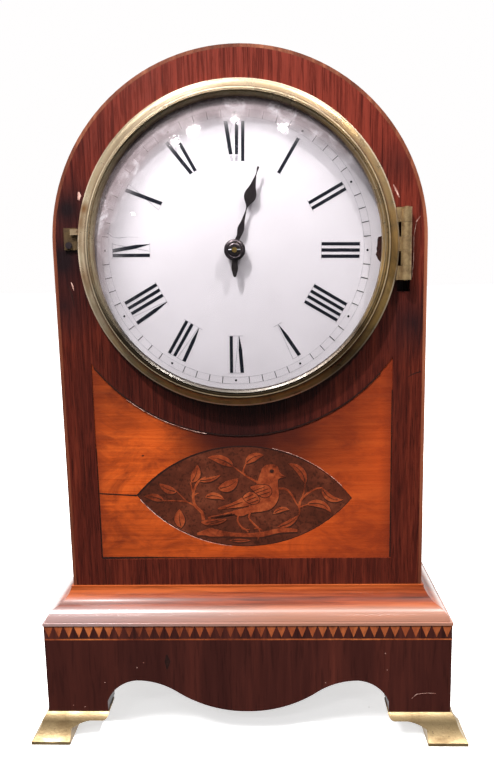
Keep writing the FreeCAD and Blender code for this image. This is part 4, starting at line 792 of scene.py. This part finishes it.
def dial_ring(piece, radius, width):
    """A circle of the minute track, as twelve strips."""
    for start in range(0, 360, 30):
        angles = [start + 2 * step for step in range(16)]
        piece.strip(
            [on_dial(angle, 0, radius - width / 2) for angle in angles],
            [on_dial(angle, 0, radius + width / 2) for angle in angles],
        )


def dial_numeral(ink, faint, hour, word):
    """One numeral with its worn hairlines and serifs, and the dot outside it."""
    angle = hour * 30
    thick, hair, width = numeral_strokes(word)
    for foot, head, stroke in thick:
        tapered = foot != head and (word[0] == "V" or word == "IX")
        if hour == 0 and foot < 2:
            start = foot + (head - foot) * (INK_ABOVE - INNER) / (OUTER - INNER)
            dial_stroke(faint, 0, foot, start, stroke * 0.8, INNER, WORN_BELOW)
            dial_stroke(ink, 0, start, head, stroke, INK_ABOVE)
        else:
            dial_stroke(ink, angle, foot, head, stroke, taper=3 if tapered else 0)
    for foot, head, stroke in hair:
        dial_stroke(faint, angle, foot, head, stroke)
    for radius in (INNER - SERIF, OUTER + SERIF):
        ends = [
            [on_dial(angle, side * width / 2, radius + rise) for side in (-1, 1)] for rise in (-SERIF, SERIF)
        ]
        faint.strip(*ends)
    x, z = on_dial(angle, 0, DOT_PLACE)
    ink.plate(circle(x, z, DOT_RADIUS, DOT_RADIUS, 12))


def make_dial(shared):
    """Roman numerals whose hairlines have nearly worn away, dots, a minute track, a crack and a chip."""
    ink = Inlay("numerals", dial_front, 0.05, shared["ink"], "enamel")
    faint = Inlay("numeral_hairlines", dial_front, 0.04, shared["faint"], "enamel")
    for hour, word in enumerate(NUMERALS):
        dial_numeral(ink, faint, hour, word)
    for minute in range(60):
        if minute % 5:
            dial_stroke(ink, minute * 6, 0, 0, MINUTE_LINE, *TRACK, steps=1)
    ink.make()
    faint.make()
    rings = Inlay("minute_track", dial_front, 0.035, shared["faint"], "enamel")
    for radius in TRACK:
        dial_ring(rings, radius, TRACK_LINE)
    rings.make()
    crack = Inlay("enamel_hairline", dial_front, 0.03, shared["faint"], "enamel")
    route = [(-62.9, 256.5), (-60.6, 254.6), (-57.2, 254.0), (-52.8, 254.4), (-48, 254.1)]
    crack.line(route, [0.5, 0.3, 0.25, 0.2, 0.1])
    crack.make()
    chip = Inlay("dial_chip", dial_front, 0.045, shared["chip"], "enamel")
    chip.plate([on_dial(angle, 0, radius) for angle, radius in CHIP])
    chip.make()


# ---------------------------------------------------------------- marquetry
def on_plaque(points):
    """Marquetry points, given from the plaque's middle, in the clock's X and Z."""
    turn = math.radians(-PLAQUE_TILT)
    return [
        (
            PLAQUE[0] + x * math.cos(turn) - z * math.sin(turn),
            PLAQUE[1] + x * math.sin(turn) + z * math.cos(turn),
        )
        for x, z in points
    ]


# Marquetry points and widths are in millimetres, from the plaque's middle.
LEAVES = [
    # base, tip, width, bend
    ((-5.4, 15.6), (-18.2, 20.2), 4.6, -0.2),
    ((0.8, 17.1), (10.0, 21.7), 4.2, 0.28),
    ((30.9, 7.0), (22.2, 17.5), 4.0, -0.35),
    ((-26.8, 7.2), (-23.6, 16.4), 4.6, -0.2),
    ((-34.2, 2.3), (-43.0, 6.4), 4.2, 0.2),
    ((-40.9, -2.7), (-51.0, -0.5), 3.8, -0.15),
    ((-32.1, -17.0), (-33.0, -7.1), 5.4, 0.1),
    ((-13.2, 4.3), (-3.0, 9.6), 5.6, -0.25),
    ((-19.7, -0.6), (-10.0, -1.7), 3.4, 0.3),
    ((39.4, 5.1), (50.0, -1.0), 3.6, -0.4),
    ((31.7, -3.9), (44.4, -8.0), 3.8, 0.4),
    ((15.0, -8.9), (23.1, -6.6), 2.6, 0.3),
    ((17.2, -15.8), (27.9, -9.2), 3.0, -0.2),
    ((-7.3, -23.4), (3.3, -23.4), 1.8, 0.0),
    ((-23.2, 8.2), (-11.9, 11.2), 2.4, -0.15),
]

STEMS = [
    # points, width
    ([(-20.8, -12.8), (-21.5, -8.8), (-24.6, -5.5), (-25.8, -1.9), (-25.6, 2.5), (-23.3, 7.4), (-19.4, 9.9)],
     1.7),
    ([(-24.6, -5.5), (-29.7, -3.0), (-36.0, -2.6), (-41.1, -2.7)], 0.8),
    ([(-25.6, 0.1), (-26.5, 4.1), (-27.1, 7.2)], 0.8),
    ([(-25.6, 0.5), (-23.0, 1.6)], 0.7),
    ([(-28.9, -3.4), (-32.0, 0.0), (-34.2, 2.3)], 0.5),
    ([(7.3, 7.3), (3.1, 9.7), (0.0, 11.7), (-0.4, 13.9), (0.9, 17.1)], 1.1),
    ([(0.0, 11.7), (-3.1, 13.9), (-5.4, 15.6)], 0.8),
    ([(17.4, 4.5), (21.7, 3.9), (24.4, 0.7), (26.4, -2.9), (28.1, -5.3)], 1.1),
    ([(28.1, -5.3), (28.7, -1.8), (32.1, 2.0), (36.3, 4.5), (39.6, 5.1)], 1.2),
    ([(29.5, -0.4), (30.3, 3.2), (30.9, 7.0)], 0.9),
    ([(28.1, -5.3), (29.8, -4.6), (31.7, -3.9)], 0.8),
    ([(28.1, -5.3), (28.2, -7.4), (27.9, -9.2)], 0.9),
]

BIRD_BODY = [
    (13.5, 17.2), (16.9, 16.0), (18.2, 12.7), (21.1, 10.6), (18.1, 9.9), (17.1, 8.5), (17.3, 4.6),
    (17.7, 0.6), (16.3, -3.4), (13.6, -6.3), (10.1, -7.5), (5.4, -8.2), (2.3, -8.9), (-0.8, -10.3),
    (-3.1, -10.2), (-5.5, -9.6), (-8.6, -10.2), (-13.3, -11.3), (-18.0, -12.0), (-18.0, -10.8),
    (-13.3, -9.9), (-8.6, -8.6), (-3.9, -7.1), (2.3, -5.2), (5.4, -0.3), (5.9, 4.5), (6.4, 6.9),
    (7.3, 9.5), (8.3, 12.6), (9.9, 15.8),
]

# Pieces of the wing, then the tuft under the tail; each lies above the one before.
WING = [
    [(-0.8, -0.4), (-3.1, -1.7), (-7.0, -3.7), (-12.5, -5.7), (-13.0, -6.9), (-7.0, -6.2), (-0.8, -5.3),
     (3.5, -4.3), (1.9, -2.5)],
    [(-0.4, 0.3), (2.9, 2.6), (6.0, 1.5), (7.9, -1.3), (6.4, -3.5), (3.2, -3.7), (0.4, -1.8)],
    [(3.1, 5.1), (5.4, 6.0), (9.3, 6.4), (12.4, 5.8), (13.9, 3.4), (13.3, 1.0), (10.5, -0.3), (7.4, 0.9),
     (4.8, 3.1)],
    [(-22.1, -13.8), (-19.6, -12.5), (-14.9, -11.9), (-9.3, -11.9), (-10.2, -13.4), (-14.1, -14.9),
     (-18.8, -15.3)],
]
WING_STEP = 0.02

FEATHER_LINES = [
    ((4.8, 3.1), (10.8, 5.5)), ((5.8, 1.9), (12.2, 4.3)), ((7.4, 0.7), (13.3, 2.8)),
    ((0.1, -0.8), (4.6, 1.4)), ((1.4, -2.1), (6.2, 0.0)), ((2.8, -3.4), (7.4, -1.6)),
    ((-9.4, -6.0), (-0.8, -2.8)),
    ((-19.6, -14.1), (-13.3, -12.6)), ((-18.1, -14.9), (-10.2, -12.7)), ((-17, -11.2), (-6, -8.9)),
    ((-15, -11.3), (-4.6, -9.2)),
]

BRANCH = [
    (-24, -20.2), (-19.7, -19.4), (-16.6, -19.3), (-8, -20.1), (2, -20.4), (9, -20.0), (16, -18.2),
    (22, -17.5), (27.3, -17.7),
]
BRANCH_WIDTHS = (1.2, 3.0, 4.4, 2.3, 2.1, 2.6, 2.4, 2.2, 1.4)

LEGS = [
    # leg, tips of its toes
    ([(-2.8, -9.8), (-3.3, -12.6), (-1.6, -15.8), (0.9, -17.6)], [(-1.2, -16.9), (2.2, -18.8), (3.0, -17.4)]),
    ([(3.1, -8.6), (2.5, -11.1), (4.7, -14.1), (7.4, -16.5)], [(5.2, -16.9), (9.4, -17.7), (8.2, -18.8)]),
]


def bent_path(base, tip, bend, steps):
    """Points from base to tip, bowed sideways by a part of their distance."""
    run = (tip[0] - base[0], tip[1] - base[1])
    made = []
    for step in range(steps + 1):
        t = step / steps
        bow = bend * 4 * t * (1 - t) / 2
        made.append((base[0] + run[0] * t - run[1] * bow, base[1] + run[1] * t + run[0] * bow))
    return made


def leaf_widths(width, steps):
    """Widths along a leaf, which is fullest a little before its middle."""
    return [max(0.12, width * math.sin(math.pi * (step / steps) ** 0.85) ** 0.8) for step in range(steps + 1)]


def grown(outline, by):
    """An outline pushed out from its middle."""
    x = sum(point[0] for point in outline) / len(outline)
    z = sum(point[1] for point in outline) / len(outline)
    made = []
    for point in outline:
        away = math.hypot(point[0] - x, point[1] - z)
        made.append((x + (point[0] - x) * (away + by) / away, z + (point[1] - z) * (away + by) / away))
    return made


def shifted(points, x, z):
    return [(point[0] + x, point[1] + z) for point in points]


def make_sprays(wood_piece, lines, shade):
    """Leaves with a vein and a shadow, and the stems that carry them."""
    steps = 12
    for base, tip, width, bend in LEAVES:
        path = bent_path(base, tip, bend, steps)
        wood_piece.line(on_plaque(path), leaf_widths(width, steps))
        lines.line(on_plaque(path[1:-2]), [0.5 - 0.04 * index for index in range(steps - 2)])
        shade.line(on_plaque(shifted(path, 0.25, -0.35)), leaf_widths(width + 0.8, steps))
    for path, width in STEMS:
        curve = smooth(path)
        count = len(curve)
        wood_piece.line(on_plaque(curve), [width * (1 - 0.45 * index / count) for index in range(count)])


def make_bird(wood_piece, shade):
    """The bird's body and legs, the branch under it, and a twig below."""
    body = smooth(BIRD_BODY, 3, True)
    wood_piece.plate(on_plaque(body))
    shade.plate(on_plaque(shifted(body, 0.3, -0.6)))
    branch = smooth(BRANCH)
    widths = [width for width, _ in smooth([(width, 0) for width in BRANCH_WIDTHS])]
    wood_piece.line(on_plaque(branch), widths)
    shade.line(on_plaque(shifted(branch, 0.2, -0.8)), widths)
    for leg, toes in LEGS:
        wood_piece.line(on_plaque(smooth(leg)), 0.85)
        for toe in toes:
            wood_piece.line(on_plaque([leg[-1], toe]), 0.55)
    wood_piece.line(on_plaque(smooth([(6.3, -20.4), (7.4, -21.9), (6.9, -23.3)])), 0.6)


def make_wing(shared):
    """Wing and tail pieces that overlap, each above a dark rim."""
    wing = Inlay("marquetry_wing", panel_surface, 0.13, shared["inlay"], "marquetry", depth=0.08)
    rims = Inlay("marquetry_wing_edges", panel_surface, 0.12, shared["engraved"], "marquetry", depth=0.08)
    for outline in WING:
        shape = smooth(outline, 4, True)
        rims.plate(on_plaque(grown(shape, 0.35)))
        wing.plate(on_plaque(shape))
        rims.step += WING_STEP
        wing.step += WING_STEP
    wing.make()
    rims.make()


def make_plaque_edge(shared):
    """A dark joint round the plaque with painted shadow, and a painted highlight line beside it."""
    radius = (PLAQUE_HALF ** 2 + PLAQUE_RISE ** 2) / (2 * PLAQUE_RISE)
    steps = 40

    def arc(offset, side, start, end):
        """Points along the plaque's upper or lower edge, moved outwards."""
        xs = [start + (end - start) * step / steps for step in range(steps + 1)]
        return on_plaque([
            (x, side * (math.sqrt(radius ** 2 - x ** 2) - radius + PLAQUE_RISE + offset)) for x in xs
        ])

    edge = Inlay("plaque_edge_shadow", panel_surface, 0.03, shared["crack"], "marquetry")
    edge.line(arc(-0.2, 1, -54.4, 54.4), [1.0 - 0.75 * step / steps for step in range(steps + 1)])
    edge.line(arc(-0.1, -1, -54.4, 54.4), 0.3)
    edge.make()
    # Painted highlights along the plaque's lower left and upper right edges.
    light = Inlay("plaque_edge_highlight", panel_surface, 0.035, shared["scuff_and_highlight"], "marquetry")
    light.line(arc(0.3, -1, -53, -6), [0.35 - 0.006 * step for step in range(steps + 1)])
    light.line(arc(0.35, 1, 14, 50), 0.14)
    light.make()


def make_marquetry(shared):
    """A bird on a branch among leaf sprays, in light wood with engraved lines."""
    shade = Inlay("marquetry_shading", panel_surface, 0.02, shared["engraved"], "marquetry")
    inlay = Inlay("marquetry_wood", panel_surface, 0.07, shared["inlay"], "marquetry", depth=0.08)
    lines = Inlay("marquetry_lines", panel_surface, 0.115, shared["engraved"], "marquetry", depth=0.08)
    make_sprays(inlay, lines, shade)
    make_bird(inlay, shade)
    inlay.make()
    shade.make()
    make_wing(shared)
    lines.step += 0.12
    for start, end in FEATHER_LINES:
        lines.line(on_plaque([start, end]), 0.26)
    lines.plate(on_plaque(circle(14, 13.6, 1.1, 0.9, 14)))
    lines.line(on_plaque([(17.8, 11.2), (20.6, 10.7)]), 0.18)
    lines.make()
    make_plaque_edge(shared)


# ---------------------------------------------------------------- banding
TOOTH_PITCH = 5.1
TOOTH_GAP = 0.12
TOOTH_TOP = PLINTH_TOP - 0.05
TOOTH_TIP = PLINTH_TOP - 6.3
LINE_TOP = PLINTH_TOP - 7.0
LINE_LOW = PLINTH_TOP - 7.7
BAND_LIFT = 0.04
BAND_DEPTH = 0.06


def make_banding(shared):
    """Light teeth that hang from the fillet, and the light line under them, on the front and sides."""
    left_back, left_front = Vector((-BASE_HALF, BASE_BACK)), Vector((-BASE_HALF, BASE_FRONT))
    right_front, right_back = Vector((BASE_HALF, BASE_FRONT)), Vector((BASE_HALF, BASE_BACK))
    mesh = bmesh.new()

    def solid(corners, out):
        """A thin prism from corners given as (plan point, height)."""
        front, back = [
            [mesh.verts.new(((p.x + out.x * by) * MM, (p.y + out.y * by) * MM, z * MM)) for p, z in corners]
            for by in (BAND_LIFT, -BAND_DEPTH)
        ]
        mesh.faces.new(front)
        mesh.faces.new(list(reversed(back)))
        for a, b, c, d in zip(front, front[1:] + front[:1], back[1:] + back[:1], back):
            mesh.faces.new((a, d, c, b))

    for start, end, out in (
        (left_front, right_front, Vector((0, -1))),
        (right_front, right_back, Vector((1, 0))),
        (left_back, left_front, Vector((-1, 0))),
    ):
        run = end - start
        gap = run.normalized() * TOOTH_GAP
        count = round(run.length / TOOTH_PITCH)
        for index in range(count):
            a = start + run * (index / count) + gap
            b = start + run * ((index + 1) / count) - gap
            solid([(a, TOOTH_TOP), (b, TOOTH_TOP), ((a + b) / 2, TOOTH_TIP)], out)
        solid([(start, LINE_TOP), (end, LINE_TOP), (end, LINE_LOW), (start, LINE_LOW)], out)
    place_piece("dog_teeth", mesh, shared["tooth"])


# ---------------------------------------------------------------- wear
SPECKS = [
    (-56.0, 38.2), (-52.6, 41.0), (-73, 30), (70, 46), (71, 37), (40, 30), (-90, 17.2), (-84, 16.4),
    (62, 16.6),
]


def bezel_arc(radius, angles):
    """Points at a radius about the bezel's axis."""
    turns = [math.radians(angle) for angle in angles]
    return [(BEZEL[0] + radius * math.cos(turn), BEZEL[1] + radius * math.sin(turn)) for turn in turns]


def panel_cracks(shared):
    """The shrinkage crack beside the plaque, open joints round the panel, and a small hole."""
    panel = Inlay("panel_cracks", panel_surface, 0.03, shared["crack"], "satinwood")
    panel.line([(-74.0, 126.4), (-68, 126.0), (-61, 125.5), (-54.6, 125.2)], [0.55, 0.7, 0.6, 0.9])
    panel.line([(-74.2, 91.7), (-52, 91.8), (-30, 91.6), (10, 91.4)], [1.1, 1.0, 0.5, 0.2])
    panel.line([(-74.2, 150), (-74.1, 120), (-74.2, 92)], [0.3, 0.5, 0.7])
    panel.line([(74.0, 91.5), (74.0, 130), (74.0, 178)], [0.9, 0.6, 0.4])
    panel.plate([(-51.4, 146.2), (-50.6, 146.6), (-50.0, 146.0), (-50.8, 145.4)])
    panel.make()


def front_wear(shared):
    """Cracks in the stiles, the joint over the panel, and scuffed polish and painted highlights about the
    bezel.
    """
    stile = Inlay("stile_cracks", front_surface, 0.03, shared["crack"], "veneer")
    stile.line([(81.6, 184.3), (83.6, 185.6), (87.8, 187.0)], [0.2, 0.5, 0.6])
    stile.line([(82.6, 231.5), (83.0, 240), (82.8, 252)], [0.5, 0.3, 0.2])
    stile.line([(-83.6, 232), (-82.2, 228), (-81.0, 221)], [0.3, 0.6, 0.2])
    stile.line(bezel_arc(PANEL_HOLLOW, range(218, 323, 5)), 0.5)
    stile.make()
    scuff_and_highlight = Inlay("front_scuffs_and_highlights", front_surface, 0.035, shared["scuff_and_highlight"], "veneer")
    scuff_and_highlight.line([(-75.9, 276), (-75.6, 274.2), (-76.1, 272.3)], [0.8, 1.7, 0.9])
    scuff_and_highlight.line([(-82.0, 233.6), (-81.3, 231.6), (-80.9, 229.4)], [0.2, 0.7, 0.2])
    beside_hinge = [(86.4, 261.2), (84.4, 258.4), (83.4, 252), (83.4, 240), (82.8, 232.5)]
    scuff_and_highlight.line(beside_hinge, [0.2, 0.3, 0.22, 0.25, 0.2])
    # Painted highlight on the bezel's outer edge above the hinge.
    scuff_and_highlight.line([(73.4, 275.9), (74.7, 273.3), (76.2, 270)], [0.2, 0.9, 0.5])
    # Painted highlight on the raised edge of the front board's hollow, at its lower left.
    scuff_and_highlight.line(bezel_arc(PANEL_HOLLOW + 0.5, range(232, 262, 3)), 0.22)
    scuff_and_highlight.make()


def plinth_wear(shared):
    """A dark plug, specks and a long scratch on the front of the plinth."""
    plug = Inlay("plinth_marks", plinth_surface, 0.03, shared["crack"], "base_wood")
    plug.line([(-40.5, 45.4), (-40.2, 41.6), (-40.6, 37.4)], [0.8, 3.0, 0.5])
    plug.make()
    specks = Inlay("plinth_specks", plinth_surface, 0.03, shared["scuff_and_highlight"], "base_wood")
    for x, z in SPECKS:
        specks.plate([(x - 0.3, z), (x, z + 0.35), (x + 0.3, z), (x, z - 0.3)])
    specks.line([(83.4, 21.4), (86, 23.8), (91, 24.4), (95.6, 24.2)], [0.1, 0.2, 0.14, 0.2])
    specks.make()


# ---------------------------------------------------------------- floor
def make_stage():
    """A plain pale floor, which glows a little to the camera only, so that it fades into the white."""
    mesh = bpy.data.meshes.new("floor")
    mesh.from_pydata([(-8, -6, 0), (8, -6, 0), (8, 10, 0), (-8, 10, 0)], [], [(0, 1, 2, 3)])
    floor = bpy.data.objects.new("floor", mesh)
    bpy.context.scene.collection.objects.link(floor)
    material = Material("pale_floor", Roughness=0.8, Emission_Color=(1, 1, 1, 1))
    material.color(material.ramp(material.noise(material.stretched((3, 3, 3))), [(0.3, 0.88), (0.7, 0.9)]))
    seen = material.node("ShaderNodeLightPath").outputs["Is Camera Ray"]
    material.join(material.math("MULTIPLY", seen, 0.62), material.shader.inputs["Emission Strength"])
    mesh.materials.append(material.data)
    floor.visible_glossy = False
    floor.visible_diffuse = False


make_camera()
make_light()
make_stage()
shared_materials = make_materials()
make_dial(shared_materials)
make_marquetry(shared_materials)
make_banding(shared_materials)
panel_cracks(shared_materials)
front_wear(shared_materials)
plinth_wear(shared_materials)
